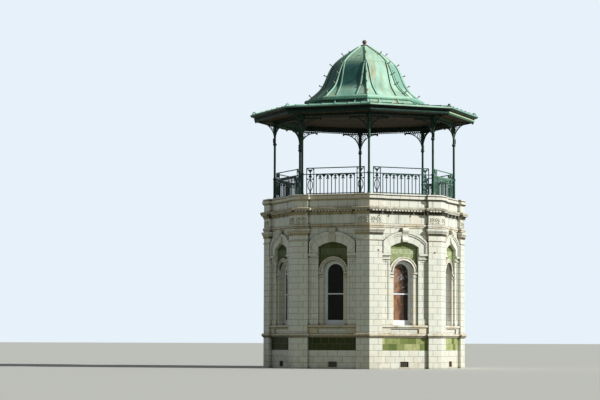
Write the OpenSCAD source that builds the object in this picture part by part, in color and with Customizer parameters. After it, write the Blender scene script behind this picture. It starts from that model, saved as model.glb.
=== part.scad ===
// An eight-sided garden pavilion in glazed blocks, with an open iron bandstand on its roof.
// Millimetres. The origin is on the ground at the centre, +Z is up, and a corner points to -Y.
// A side's own frame has the outward normal along -Y and X running to the right, seen from outside.

/* [Masonry plan] */
// Radius from the centre to a corner of the pier faces
wall_r = 4345; // [4200:5:4500]
// Width of the pier on each side of a corner
pier_w = 590; // [520:5:660]
// How far the bays stand back from the piers
bay_set = 130; // [110:5:160]
// Thickness of a bay's wall
wall_t = 600; // [540:5:680]
// Open joint between blocks that share a course
joint = 2; // [1:0.5:4]

/* [Masonry heights] */
// Underside of the tiled apron
apron_z = 770; // [700:5:800]
// Underside of the string course
string_z = 1300; // [1260:5:1340]
// Height of the string course
string_h = 170; // [150:5:190]
// Top of the window sills
sill_z = 1810; // [1780:5:1860]
// Thickness of the sills
sill_h = 150; // [120:5:180]
// Top of the pier shafts and bay walls
shaft_z = 5850; // [5800:5:5950]
// Height of the architrave and frieze
frieze_h = 550; // [500:5:600]
// Height of the cornice
cornice_h = 310; // [260:5:340]
// Height of the parapet
parapet_h = 290; // [240:5:340]
// Height of the coping
coping_h = 250; // [210:5:280]
// Thickness of the ground floor
floor_t = 150; // [120:5:200]

/* [Mouldings] */
// How far the string course stands out
string_out = 85; // [60:5:110]
// How far the sills stand out
sill_out = 100; // [70:5:120]
// How far the pier capitals stand out
capital_out = 100; // [70:5:120]
// Height of the pier capitals
capital_h = 270; // [230:5:300]
// Drop from the capital to the necking
neck_drop = 190; // [150:5:230]
// Height of the necking
neck_h = 50; // [35:5:65]
// How far the cornice stands out
cornice_out = 160; // [120:5:200]
// How far the coping stands out
coping_out = 75; // [50:5:100]

/* [Windows] */
// Clear width between the reveals
opening_w = 920; // [840:5:960]
// Centre of the round arch
spring_z = 4010; // [3960:5:4060]
// Width of the inner arch's band
arch_w = 185; // [160:5:200]
// Gap between the inner arch and each side of its recess
recess_gap = 5; // [3:1:25]
// Depth of that recess
recess_d = 150; // [120:5:180]
// How far the inner arch stands out of the recess
arch_out = 70; // [50:5:90]
// Height where the recess head springs
head_z = 5050; // [5000:5:5090]
// Rise of the recess head
head_rise = 200; // [160:5:230]
// Gap between the hood's foot and the pier
hood_gap = 58; // [40:2:80]
// Height of the hood at its crown
hood_h = 440; // [400:5:470]
// Rise of the hood's back
hood_rise = 430; // [380:5:460]
// How far the hood stands out
hood_out = 50; // [40:5:70]
// Width of a keystone
keystone_w = 290; // [260:5:320]
// How far a keystone stands out
keystone_out = 165; // [140:5:190]
// Diameter of the roll round the inner arch
arch_roll_d = 84; // [70:2:96]
// Depth of the reveal in front of the window
reveal_d = 260; // [220:5:290]
// Width and depth of the window frame
frame_w = 65; // [55:5:75]
// Width of the sash members
sash_w = 48; // [42:2:56]
// Depth of the sashes
sash_d = 60; // [50:5:70]
// Height of the bottom rail with the timber sill
bottom_rail = 210; // [180:5:230]
// Middle of the meeting rail
meeting_z = 3110; // [3060:5:3160]
// Thickness of the glass
glass_t = 8; // [6:1:12]
// Thickness of the wall tiles
tile_t = 30; // [25:5:35]
// Width of an air vent
vent_w = 380; // [340:5:420]
// Height of an air vent
vent_h = 230; // [200:5:250]
// Height of the vents above the ground
vent_z = 75; // [60:5:90]

/* [Bandstand frame] */
// Radius of the ring of columns
column_ring = 3890; // [3840:5:3920]
// Diameter of a column shaft
column_d = 96; // [84:2:110]
// Middle of the collar above the coping
collar_h = 2400; // [2340:5:2460]
// Underside of the ring beam above the coping
beam_h = 3350; // [3310:5:3390]
// Height of the ring beam
beam_t = 180; // [160:5:190]
// Width of the ring beam
beam_w = 100; // [90:5:120]
// Height of the pierced frieze under the beam
fret_h = 110; // [90:5:120]
// Thickness of the flat ironwork
iron_t = 28; // [22:1:34]
// Width of the bars in the brackets
bar_w = 26; // [20:1:30]
// Reach of a bracket from its column
bracket_reach = 815; // [780:5:830]
// Radius of the curve under a bracket
bracket_r = 700; // [660:5:720]
// Drop from a bracket's top to its curve
bracket_drop = 50; // [40:2:60]
// Thickness of the ceiling boards
board_t = 25; // [20:1:30]

/* [Railings] */
// Height of the main rail
rail_h = 890; // [850:5:920]
// Height of the upper handrail
hand_h = 1150; // [1110:5:1180]
// Diameter of the upper handrail
hand_d = 42; // [34:2:48]
// Thickness of the rails
rail_t = 36; // [30:2:42]
// Width of the end panels
panel_w = 350; // [320:5:370]
// Gap between a column's centre and its panel
panel_gap = 190; // [170:5:210]
// Spacing of the balusters
baluster_gap = 170; // [160:2:174]
// Width of a baluster
baluster_w = 28; // [22:1:32]

/* [Roof] */
// How far the eave's corners stand out from the columns
eave_out = 1073; // [1040:1:1100]
// Height of the eave above the beam's underside
eave_rise = 330; // [310:5:350]
// Depth of the eave gutter
gutter_h = 240; // [225:5:250]
// Radius to a corner of the skirt's foot
skirt_r = 2850; // [2780:5:2900]
// Height of the skirt's foot above the eave
skirt_rise = 220; // [190:5:250]
// Height of the skirt
skirt_h = 235; // [210:5:260]
// Radius to a corner of the roll at the dome's foot
roll_r = 2516; // [2470:5:2560]
// Diameter of that roll
roll_d = 190; // [170:5:210]
// Height of the dome above the roll
dome_h = 2415; // [2350:5:2480]
// Thickness of the roof coverings and their boards
roof_t = 45; // [35:5:55]
// Diameter of the hip rolls
hip_d = 84; // [70:2:96]
// Distance of the dome's ribs from the middle of a face
rib_x = 450; // [410:5:490]
// Width of a rib
rib_w = 66; // [56:2:76]
// How far a rib stands out of the sheets
rib_out = 40; // [32:2:48]
// Height of the finial
finial_h = 260; // [230:5:290]
// Diameter of the finial's knob
knob_d = 195; // [180:5:210]
// Radius of the finial's foot
finial_r = 160; // [145:5:175]

/* [Hidden] */
SIDES = 8;
HALF = 180 / SIDES;
FINE = 48;
LARGE = 240;
REACH = 9000;
WINDOW_SIDES = [0, 1, 2, 5, 6, 7];

// Colours
CREAM = [0.90, 0.88, 0.80];
OCHRE = [0.84, 0.78, 0.62];
TILE = [0.45, 0.56, 0.36];
IRON = [0.10, 0.26, 0.21];
COPPER = [0.47, 0.68, 0.58];
TIMBER = [0.38, 0.28, 0.20];
PAINT = [0.86, 0.88, 0.88];

// Masonry plan
wall_a = apothem(wall_r);
bay_a = wall_a - bay_set;
inner_a = bay_a - wall_t;
bay_half = wall_a * tan(HALF) - pier_w;

// Masonry heights
joint_band = 30;
kerb_w = 130;
deck_drop = 70;
deck_t = 220;
string_top = string_z + string_h;
capital_z = shaft_z - capital_h - joint_band;
neck_z = capital_z - neck_drop - neck_h;
frieze_z = shaft_z;
cornice_z = frieze_z + frieze_h;
parapet_z = cornice_z + cornice_h;
coping_z = parapet_z + parapet_h;
deck_z = coping_z + coping_h;
kerb_a = inner_a + kerb_w;
deck_top = deck_z - deck_drop;
ledge_z = deck_top - deck_t;

// Windows
arch_r = opening_w / 2;
recess_w = opening_w + 2 * arch_w + 2 * recess_gap;
recess_back = bay_a - recess_d;
arch_front = recess_back + arch_out;
frame_front = arch_front - reveal_d;
head_r = arc_radius(recess_w, head_rise);
head_top = head_z + head_rise;
hood_w = 2 * (bay_half - hood_gap);
hood_r = arc_radius(hood_w, hood_rise);
hood_top = head_top + hood_h;
hood_spring = hood_top - hood_rise;
impost_h = 250;
impost_z = head_z - 2 * impost_h - 20;
lower_impost_h = 220;
lower_impost_z = spring_z - lower_impost_h - 10;

// Bandstand
column_r = column_d / 2;
ring_a = apothem(column_ring);
ring_half = column_ring * sin(HALF);
collar_z = deck_z + collar_h;
beam_z = deck_z + beam_h;
beam_top = beam_z + beam_t;
fret_z = beam_z - fret_h;
bracket_foot = collar_z + 62;

// Roof
hip_clearance = 1;
hip_joint = hip_d * cos(HALF) + hip_clearance;
eave_r = column_ring + eave_out;
eave_a = apothem(eave_r);
eave_z = beam_z + eave_rise;
gutter_z = eave_z - gutter_h;
gutter_d = 200;
soffit_z = gutter_z - board_t;
skirt_a = apothem(skirt_r);
skirt_z = eave_z + skirt_rise;
curb_z = skirt_z + skirt_h;
roll_a = apothem(roll_r);
roll_z = curb_z + roll_d / 2;
dome_z = curb_z + roll_d;
dome_top = dome_z + dome_h;
dome_foot_a = roll_a - roll_d / 2;
dome_eye = 1;

// The dome's outline, as shares of its foot's radius and of its height, from the foot to the top
DOME_KNOTS = [[1.000, 0.000], [0.905, 0.080], [0.825, 0.150], [0.760, 0.230], [0.705, 0.340],
    [0.655, 0.460], [0.595, 0.580], [0.505, 0.690], [0.375, 0.800], [0.215, 0.905], [0.066, 1.000]];

function apothem(corner_r) = corner_r * cos(HALF);
function arc_radius(width, rise) = (width * width / 4 + rise * rise) / (2 * rise);

// A smooth curve through the knots
function spline(a, b, c, d, t) = 0.5 * (2 * b + (c - a) * t + (2 * a - 5 * b + 4 * c - d) * t * t
    + (3 * b - a - 3 * c + d) * t * t * t);
function knot(i) = DOME_KNOTS[max(0, min(len(DOME_KNOTS) - 1, i))];
STEPS = 3;
DOME_CURVE = concat([for (i = [0 : len(DOME_KNOTS) - 2], s = [0 : STEPS - 1])
    spline(knot(i - 1), knot(i), knot(i + 1), knot(i + 2), s / STEPS)], [knot(len(DOME_KNOTS) - 1)]);
// Points of the dome's outline on a face: distance from the axis and height
function dome_outline(shift = 0) = [for (p = DOME_CURVE)
    [max(dome_eye, p[0] * dome_foot_a + shift), dome_z + p[1] * dome_h + shift]];

// Frames

module on_side(k) {
    rotate([0, 0, HALF + 2 * HALF * k]) children();
}

module each_side(list = [0 : SIDES - 1]) {
    for (k = list) on_side(k) children();
}

module each_corner() {
    for (k = [0 : SIDES - 1]) rotate([0, 0, 2 * HALF * k]) children();
}

// The slice of the plan that belongs to one side, less half a joint at each mitre
module slice(gap = 0) {
    trim = gap / 2 / cos(HALF);
    far = REACH * tan(HALF);
    linear_extrude(REACH * 2)
        polygon([[0, -trim / tan(HALF)], [far - trim, -REACH], [trim - far, -REACH]]);
}

// A length of moulding along a side, from points of distance outwards and height
module along_side(points, length = 2 * REACH) {
    mirror([0, 1, 0]) rotate([90, 0, 90]) translate([0, 0, -length / 2])
        linear_extrude(length) polygon(points);
}

// A shape drawn as seen from outside, from one distance to a greater one
module facing(near, far) {
    translate([0, -near, 0]) rotate([90, 0, 0]) linear_extrude(far - near) children();
}

// Masonry courses that break forward over the piers

function outward(profile, inner, face) = concat([[inner, profile[0][1]]],
    [for (p = profile) [face + p[0], p[1]]], [[inner, profile[len(profile) - 1][1]]]);
function sideways(profile) = concat([for (p = profile) [bay_half - p[0], p[1]]],
    [[REACH, profile[len(profile) - 1][1]], [REACH, profile[0][1]]]);
function between(profile, gap) = concat([for (p = profile) [bay_half - p[0] - gap, p[1]]],
    [for (i = [len(profile) - 1 : -1 : 0]) [gap + profile[i][0] - bay_half, profile[i][1]]]);

// The right-hand end of a side, up to the corner
module pier_arm(profile, inner) {
    intersection() {
        along_side(outward(profile, inner, wall_a));
        facing(0, REACH) polygon(sideways(profile));
        slice();
    }
}

module pier_course(profile, inner) {
    each_corner() {
        rotate([0, 0, -HALF]) pier_arm(profile, inner);
        rotate([0, 0, HALF]) mirror([1, 0, 0]) pier_arm(profile, inner);
    }
}

module bay_course(profile, inner, sides = [0 : SIDES - 1]) {
    each_side(sides) intersection() {
        along_side(outward(profile, inner, bay_a));
        facing(0, REACH) polygon(between(profile, joint));
    }
}

// A band that is only planted on the face of the piers
module pier_band(profile) {
    difference() {
        pier_course(profile, bay_a);
        pier_course([[0, profile[0][1] - 1], [0, profile[len(profile) - 1][1] + 1]], bay_a - 1);
    }
}

function plain(z0, z1) = [[0, z0], [0, z1]];
function course(z, height, shares, out) = [for (s = shares) [s[0] * out, z + s[1] * height]];

STRING_SHAPE = [[0, 0], [0.45, 0], [0.7, 0.3], [1, 0.45], [1, 0.85], [0.3, 1], [0, 1]];
SILL_SHAPE = [[0, 0], [0.5, 0], [0.6, 0.3], [1, 0.45], [1, 0.9], [0.85, 1], [0, 1]];
CAPITAL_SHAPE = [[0, 0], [0.3, 0], [0.35, 0.3], [0.55, 0.5], [0.8, 0.62], [0.8, 0.72], [1, 0.74],
    [1, 1], [0, 1]];
IMPOST_SHAPE = [[0, 0], [0.55, 0.02], [0.68, 0.12], [0.55, 0.24], [0.1, 0.28], [0.2, 0.55],
    [0.75, 0.66], [1, 0.7], [1, 1], [0, 1]];
KEYSTONE_SHAPE = [[0, 0], [0.42, 0], [0.68, 0.05], [0.76, 0.14], [0.68, 0.25], [0.54, 0.34],
    [0.5, 0.46], [0.58, 0.58], [0.82, 0.68], [0.97, 0.78], [1, 0.87], [0.9, 0.96], [0.7, 1], [0, 1]];
NECK_SHAPE = [[0, 0], [0.25, 0], [0.4, 0.3], [0.4, 0.7], [0.25, 1], [0, 1]];
FRIEZE_SHAPE = [[0.5, 0], [0.5, 0.09], [0.8, 0.13], [0.8, 0.26], [0, 0.29], [0, 1]];
CORNICE_SHAPE = [[0, 0], [0.15, 0], [0.2, 0.15], [0.35, 0.28], [0.4, 0.36], [0.78, 0.42],
    [0.78, 0.55], [0.86, 0.6], [0.95, 0.72], [1, 0.8], [1, 0.88], [0.1, 1]];
COPING_SHAPE = [[0, 0], [0.55, 0], [0.7, 0.12], [1, 0.2], [1, 0.62], [0.55, 0.7], [0.55, 0.76],
    [0.7, 0.8], [0.7, 0.94], [0.5, 1]];
frieze_out = 60;

string_profile = course(string_z, string_h, STRING_SHAPE, string_out);
capital_profile = course(capital_z, capital_h, CAPITAL_SHAPE, capital_out);
neck_profile = course(neck_z, neck_h, NECK_SHAPE, capital_out);
frieze_profile = course(frieze_z, frieze_h, FRIEZE_SHAPE, frieze_out);
cornice_profile = course(cornice_z, cornice_h, CORNICE_SHAPE, cornice_out);
coping_profile = course(coping_z, coping_h, COPING_SHAPE, coping_out);

module ground_floor() {
    color(OCHRE) translate([0, 0, apron_z - floor_t])
        linear_extrude(floor_t) circle(r = inner_a / cos(HALF), $fn = SIDES);
}

module corner_piers() {
    color(CREAM) pier_course(plain(0, shaft_z), inner_a);
}

// The outline of the round-headed opening, grown by a margin
module arch_shape(grow = 0, foot = sill_z) {
    translate([0, spring_z]) circle(r = arch_r + grow, $fn = FINE);
    translate([-arch_r - grow, foot]) square([2 * (arch_r + grow), spring_z - foot]);
}

// A rectangle with a shallow curved head
module curved_head(width, foot, spring, radius) {
    centre = spring - sqrt(radius * radius - width * width / 4);
    overlap = radius / 10;
    intersection() {
        translate([-width / 2, foot]) square([width, spring - foot + radius]);
        union() {
            translate([0, centre]) circle(r = radius, $fn = LARGE);
            translate([-width, foot]) square([2 * width, spring - foot - overlap]);
        }
    }
}

module recess_shape() {
    curved_head(recess_w, sill_z, head_z, head_r);
}

strip_w = bay_half - recess_w / 2;
strip_margin = 0.21 * strip_w;
strip_sunk = 25;
strip_foot = 260;

module sunk_panels() {
    low = sill_z + strip_foot;
    high = impost_z - strip_margin;
    for (s = [-1, 1])
        translate([s * (recess_w + strip_w) / 2, (low + high) / 2])
            square([strip_w - 2 * strip_margin, high - low], center = true);
}

module window_wall() {
    color(CREAM) difference() {
        along_side([[inner_a, 0], [bay_a, 0], [bay_a, shaft_z], [inner_a, shaft_z]], 2 * bay_half);
        facing(inner_a - 1, bay_a + 1) arch_shape();
        facing(recess_back, bay_a + 1) recess_shape();
        facing(bay_a - strip_sunk, bay_a + 1) sunk_panels();
        facing(bay_a - tile_t, bay_a + 1) translate([-bay_half - 1, apron_z])
            square([2 * bay_half + 2, string_z - apron_z]);
        facing(bay_a - 2 * tile_t, bay_a + 1) vent_shape();
    }
}

module party_wall() {
    color(CREAM)
        along_side([[inner_a, 0], [bay_a, 0], [bay_a, shaft_z], [inner_a, shaft_z]], 2 * bay_half);
}

module string_course() {
    color(OCHRE) {
        pier_band(string_profile);
        bay_course(string_profile, bay_a);
    }
}

module window_sills() {
    block_h = sill_z - sill_h - string_top;
    color(OCHRE) each_side(WINDOW_SIDES) {
        intersection() {
            along_side(outward(course(sill_z - sill_h, sill_h, SILL_SHAPE, sill_out), bay_a, bay_a));
            facing(0, REACH) translate([-bay_half + joint, 0])
                square([2 * (bay_half - joint), shaft_z]);
        }
        for (s = [-1, 1]) translate([s * (recess_w + strip_w) / 2, 0])
            facing(bay_a, bay_a + hood_out) translate([joint - strip_w / 2, string_top])
                square([strip_w - 2 * joint, block_h]);
    }
}

module apron_tiles() {
    color(TILE) each_side(WINDOW_SIDES)
        facing(bay_a - tile_t, bay_a) translate([-bay_half, apron_z])
            square([2 * bay_half, string_z - apron_z]);
}

module tympanum_tiles() {
    color(TILE) each_side(WINDOW_SIDES)
        facing(recess_back, recess_back + tile_t) difference() {
            recess_shape();
            arch_shape(arch_w + joint);
            translate([-recess_w, 0]) square([2 * recess_w, spring_z]);
        }
}

module impost(width, z, height, face, out) {
    along_side(outward(course(z, height, IMPOST_SHAPE, out), face, face), width);
}

module window_arches() {
    side_x = arch_r + arch_w / 2;
    fillet_w = 45;
    color(CREAM) each_side(WINDOW_SIDES) {
        facing(recess_back, arch_front) difference() {
            arch_shape(arch_w);
            arch_shape(0, sill_z - 1);
        }
        facing(arch_front - 1, arch_front + 22) difference() {
            translate([0, spring_z]) circle(r = arch_r + arch_w, $fn = FINE);
            translate([0, spring_z]) circle(r = arch_r + arch_w - fillet_w, $fn = FINE);
            translate([-REACH / 2, spring_z - REACH]) square([REACH, REACH]);
        }
        translate([0, -arch_front, spring_z]) rotate([90, 0, 0]) rotate_extrude(angle = 180, $fn = FINE)
            translate([arch_r + arch_roll_d / 2 + 6, 0]) circle(d = arch_roll_d, $fn = 24);
        for (s = [-1, 1]) translate([s * side_x, 0, 0])
            impost(arch_w, lower_impost_z, lower_impost_h, arch_front - 1, 52);
    }
}

module keystone_shape(grow = 0) {
    low = keystone_w / 2 - 15 + grow;
    high = keystone_w / 2 + grow;
    polygon([[-low, head_z], [low, head_z], [high, shaft_z], [-high, shaft_z]]);
}

module hood_shape(grow = 0) {
    difference() {
        curved_head(hood_w + 2 * grow, impost_z + impost_h, hood_spring + grow, hood_r + grow);
        recess_shape();
    }
}

// The hood and the two steps of its drip mould, each a narrower band that stands further out
module window_hoods() {
    steps = [[95, 34], [48, 62]];
    color(CREAM) each_side(WINDOW_SIDES) {
        facing(bay_a, bay_a + hood_out) difference() {
            hood_shape();
            keystone_shape(joint);
        }
        for (step = steps) facing(bay_a + hood_out - 1, bay_a + hood_out + step[1]) difference() {
            hood_shape();
            curved_head(hood_w - 2 * step[0], 0, hood_spring - step[0], hood_r - step[0]);
            keystone_shape(joint);
        }
        for (s = [-1, 1]) translate([s * (recess_w + strip_w) / 2, 0, 0])
            impost(strip_w - 2 * joint, impost_z, impost_h - 1, bay_a, 95);
    }
}

// A scrolled stone, whose side view is the keystone shape
module keystones() {
    height = shaft_z - head_top + 20;
    color(OCHRE) each_side(WINDOW_SIDES) intersection() {
        along_side(outward(course(shaft_z - height, height, KEYSTONE_SHAPE, keystone_out), bay_a, bay_a));
        facing(0, REACH) difference() {
            keystone_shape();
            recess_shape();
        }
    }
}

// The clear lights of the two sashes
module light_shape() {
    edge = frame_w + sash_w;
    bottom = sill_z + bottom_rail;
    intersection() {
        arch_shape(-edge);
        union() {
            translate([-arch_r, bottom]) square([2 * arch_r, meeting_z - sash_w / 2 - bottom]);
            translate([-arch_r, meeting_z + sash_w / 2]) square([2 * arch_r, shaft_z]);
        }
    }
}

module window_frames() {
    mid = frame_front - frame_w / 2;
    color(PAINT) each_side(WINDOW_SIDES) {
        facing(frame_front - frame_w, frame_front) difference() {
            arch_shape();
            arch_shape(-frame_w, sill_z + bottom_rail / 2);
        }
        facing(mid - sash_d / 2, mid + sash_d / 2) difference() {
            arch_shape(-frame_w, sill_z + bottom_rail / 2);
            light_shape();
        }
    }
}

module window_glass() {
    mid = frame_front - frame_w / 2;
    color([0.2, 0.25, 0.3, 0.5]) each_side(WINDOW_SIDES)
        facing(mid - glass_t / 2, mid + glass_t / 2) light_shape();
}

module vent_shape() {
    translate([-vent_w / 2, vent_z]) square([vent_w, vent_h]);
}

module air_vents() {
    rows = 3;
    columns_of_slots = 4;
    rim = 25;
    pitch_x = (vent_w - rim) / columns_of_slots;
    pitch_z = (vent_h - rim) / rows;
    color(IRON) each_side(WINDOW_SIDES)
        facing(bay_a - 2 * tile_t, bay_a - tile_t) difference() {
            vent_shape();
            for (i = [0 : columns_of_slots - 1], j = [0 : rows - 1])
                translate([rim - vent_w / 2 + i * pitch_x, vent_z + rim + j * pitch_z])
                    square([pitch_x - rim, pitch_z - rim]);
        }
}

module pier_capitals() {
    color(OCHRE) {
        pier_band(capital_profile);
        pier_band(neck_profile);
    }
}

module frieze() {
    color(CREAM) {
        pier_course(frieze_profile, inner_a);
        bay_course(frieze_profile, inner_a);
    }
}

module cornice() {
    color(OCHRE) {
        pier_course(cornice_profile, inner_a);
        bay_course(cornice_profile, inner_a);
    }
}

module parapet() {
    profile = plain(parapet_z, coping_z);
    color(CREAM) difference() {
        union() {
            pier_course(profile, inner_a);
            bay_course(profile, inner_a);
        }
        translate([0, 0, ledge_z]) linear_extrude(REACH) circle(r = kerb_a / cos(HALF), $fn = SIDES);
    }
}

module coping() {
    color(OCHRE) {
        pier_course(coping_profile, kerb_a);
        bay_course(coping_profile, kerb_a);
    }
}

module roof_deck() {
    color([0.62, 0.60, 0.56]) translate([0, 0, ledge_z])
        linear_extrude(deck_t) circle(r = kerb_a / cos(HALF), $fn = SIDES);
}

// Ironwork

module columns() {
    shoe = 1.9 * column_r;
    foot = 1.25 * column_r;
    color(IRON) each_corner() translate([0, -column_ring, 0])
        rotate_extrude($fn = FINE) polygon([
            [0, deck_z], [shoe, deck_z], [shoe, deck_z + 40], [foot + 12, deck_z + 70],
            [foot, deck_z + 120], [foot, deck_z + rail_h - 40], [foot + 16, deck_z + rail_h - 20],
            [foot + 16, deck_z + rail_h + 20], [column_r, deck_z + rail_h + 60],
            [column_r, collar_z - 70], [1.7 * column_r, collar_z - 25], [1.7 * column_r, collar_z + 25],
            [column_r, collar_z + 60], [column_r, beam_z], [0, beam_z]]);
}

module ring_2d(r, band) {
    difference() {
        circle(r = r, $fn = 24);
        circle(r = r - band, $fn = 24);
    }
}

// A scroll of three half rings, each smaller than the one before, with a boss at its inner end
module scroll(r, band) {
    step = 0.24 * r;
    for (i = [0 : 2]) translate([-(i % 2) * step, 0]) intersection() {
        ring_2d(r - i * step, band);
        translate([-r, -(i % 2) * 2 * r]) square([2 * r, 2 * r]);
    }
    translate([2 * step - r + band / 2, 0]) circle(r = 0.8 * band, $fn = 24);
}

// Radii of circles that touch the bracket's curve and its top bar, or its upright bar
function top_fit(x) = (pow(bracket_r - x, 2) + 2 * bracket_r * bracket_drop + pow(bracket_drop, 2))
    / (2 * (2 * bracket_r + bracket_drop));
function side_fit(y) = pow(bracket_r + bracket_drop - y, 2) / (4 * bracket_r);
// The places of touching circles in a row, from the first one on
function top_row(x) = x > bracket_r ? [] : let (r = top_fit(x))
    concat([x], top_row(x + 2 * sqrt(r * top_fit(x + 1.5 * r))));
function side_row(y) = side_fit(y) < bar_w ? [] : let (r = side_fit(y))
    concat([y], side_row(y + 2 * sqrt(r * side_fit(y + 1.5 * r))));

// A bracket seen from its side: the origin is where its top meets the column, and leg is its depth
module bracket_shape(leg) {
    flange = 1.4 * bar_w;
    corner_r = 3 * bracket_r + bracket_drop - sqrt(pow(3 * bracket_r + bracket_drop, 2)
        - pow(bracket_r + bracket_drop, 2));
    deep = bracket_r + bracket_drop;
    module curl(r) {
        if (r > 2 * bar_w) scroll(r, 0.7 * bar_w); else ring_2d(r, 0.6 * bar_w);
    }
    module spandrel(grow = 0) {
        difference() {
            translate([0, -deep]) square([bracket_reach, deep]);
            translate([bracket_r, -deep]) circle(r = bracket_r + grow, $fn = 2 * FINE);
            translate([bracket_r, -deep]) square([bracket_reach, bracket_r + grow]);
        }
    }
    difference() {
        spandrel();
        difference() {
            spandrel(flange);
            translate([0, -deep - 1]) square([bar_w, 2 * deep]);
            translate([0, -bar_w]) square([2 * bracket_reach, 2 * bar_w]);
        }
    }
    translate([0, -leg]) square([flange, leg - deep + 1]);
    translate([bracket_reach - flange, -bracket_drop - 10]) circle(r = flange, $fn = 24);
    intersection() {
        spandrel();
        union() {
            translate([corner_r, -corner_r]) rotate(45) scroll(corner_r, bar_w);
            for (x = top_row(corner_r)) if (x > corner_r)
                translate([x, -top_fit(x)]) rotate(-60) curl(top_fit(x));
            for (y = side_row(corner_r)) if (y > corner_r)
                translate([side_fit(y), -y]) rotate(150) curl(side_fit(y));
        }
    }
}

module arch_brackets() {
    color(IRON) each_side() for (s = [0, 1]) mirror([s, 0, 0])
        facing(ring_a - iron_t / 2, ring_a + iron_t / 2)
            translate([column_r - ring_half, fret_z]) bracket_shape(fret_z - bracket_foot);
}

module eave_brackets() {
    color(IRON) each_corner() translate([0, -column_ring - column_r, soffit_z])
        rotate([90, 0, -90]) translate([0, 0, -iron_t / 2])
            linear_extrude(iron_t) bracket_shape(soffit_z - bracket_foot);
}

module fret_panels() {
    span = 2 * (ring_half - column_r);
    hole_r = fret_h / 2 - 0.75 * bar_w;
    pitch = 2 * hole_r + 0.8 * bar_w;
    count = floor((span - 2 * bar_w) / pitch);
    color(IRON) each_side() facing(ring_a - iron_t / 2, ring_a + iron_t / 2) difference() {
        translate([-span / 2, fret_z]) square([span, fret_h]);
        for (i = [0 : count - 1])
            translate([(i - (count - 1) / 2) * pitch, fret_z + fret_h / 2])
                circle(r = hole_r, $fn = 24);
    }
}

module ring_segments(points, gap = joint) {
    each_side() intersection() {
        along_side(points);
        slice(gap);
    }
}

module ring_beam() {
    low = ring_a - beam_w / 2;
    high = ring_a + beam_w / 2;
    color(IRON) ring_segments([[low, beam_z], [high, beam_z], [high, beam_top], [low, beam_top]]);
}

module ceiling() {
    color(TIMBER) translate([0, 0, beam_top - board_t]) linear_extrude(board_t)
        circle(r = (ring_a - beam_w / 2) / cos(HALF), $fn = SIDES);
}

// Railings

module bar_2d(x, low, high, width = baluster_w) {
    translate([x - width / 2, low]) square([width, high - low]);
}

foot_h = 40;
rail_under = rail_h - rail_t;
BALUSTERS = 11;

// A pointed oval band that stands on the origin
module pointed_oval(width, height, band) {
    r = (height * height + width * width) / (4 * width);
    module oval(shrink) intersection_for (s = [-1, 1])
        translate([s * (r - width / 2), height / 2]) circle(r = r - shrink, $fn = 2 * FINE);
    difference() {
        oval(0);
        oval(band);
    }
}

// The ornament on a baluster, hung from the origin: a spade over two drops
module spade(width) {
    polygon([[0, 0], [0.42 * width, -0.5 * width], [-0.42 * width, -0.5 * width]]);
    polygon([[-0.1 * width, -0.7 * width], [0.1 * width, -0.7 * width], [0.5 * width, -1.35 * width],
        [-0.5 * width, -1.35 * width]]);
    for (s = [-1, 1]) {
        translate([s * 0.24 * width, -0.56 * width]) circle(r = 0.25 * width, $fn = 24);
        translate([s * 0.46 * width, -1.4 * width]) circle(r = 0.17 * width, $fn = 24);
    }
}

module heart(width) {
    r = 0.28 * width;
    for (s = [-1, 1]) translate([s * 0.22 * width, 0]) circle(r = r, $fn = 24);
    polygon([[-0.44 * width, -0.1 * width], [0.44 * width, -0.1 * width], [0, -0.75 * width]]);
}

module end_panel() {
    post_x = (panel_w - baluster_w) / 2;
    cross_y = rail_under - 0.56 * panel_w;
    oval_w = 0.68 * panel_w;
    heart_w = 0.42 * panel_w;
    heart_y = (rail_h + hand_h) / 2 + 10;
    for (s = [-1, 1]) {
        bar_2d(s * post_x, 0, hand_h);
        translate([s * 0.36 * panel_w, cross_y + rail_t / 3]) circle(r = 0.09 * panel_w, $fn = 24);
        translate([s * 0.27 * panel_w, hand_h - rail_t - 0.1 * panel_w])
            ring_2d(0.12 * panel_w, 0.6 * baluster_w);
    }
    translate([-panel_w / 2, hand_h - rail_t]) square([panel_w, rail_t]);
    translate([0, heart_y]) heart(heart_w);
    bar_2d(0, 0, heart_y - 0.75 * heart_w + 5.25);
    polygon([[-0.1 * panel_w, rail_under], [0.1 * panel_w, rail_under],
        [0.22 * panel_w, cross_y + 0.26 * panel_w], [0.07 * panel_w, cross_y + 0.2 * panel_w],
        [0.07 * panel_w, cross_y], [-0.07 * panel_w, cross_y],
        [-0.07 * panel_w, cross_y + 0.2 * panel_w], [-0.22 * panel_w, cross_y + 0.26 * panel_w]]);
    translate([-post_x, cross_y]) square([2 * post_x, 0.7 * rail_t]);
    translate([0, foot_h + rail_t + 0.2 * panel_w])
        pointed_oval(oval_w, cross_y - foot_h - rail_t - 0.2 * panel_w + rail_t / 2, baluster_w);
    translate([0, foot_h + rail_t + 0.14 * panel_w]) circle(r = 0.12 * panel_w, $fn = 24);
}

module railing_shape() {
    end_x = ring_half - 1.25 * column_r;
    panel_out = ring_half - panel_gap;
    panel_mid = panel_out - panel_w / 2;
    arc_r = baluster_gap - baluster_w / 3;
    arc_y = rail_under - arc_r - rail_t / 6;
    // Rails
    translate([-panel_out, foot_h]) square([2 * panel_out, rail_t]);
    translate([-end_x, rail_under]) square([2 * end_x, rail_t]);
    // Balusters, with a spade under a small arch on every second one
    for (i = [0 : BALUSTERS - 1]) translate([(i - (BALUSTERS - 1) / 2) * baluster_gap, 0]) {
        bar_2d(0, 0, rail_h - 1);
        if (i % 2 == 1) {
            translate([0, rail_under]) spade(0.72 * baluster_gap);
            difference() {
                translate([-baluster_gap, arc_y]) square([2 * baluster_gap, rail_h - arc_y - 1]);
                translate([0, arc_y]) circle(r = arc_r, $fn = FINE);
            }
        }
    }
    for (s = [-1, 1]) translate([s * panel_mid, 0]) end_panel();
}

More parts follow.
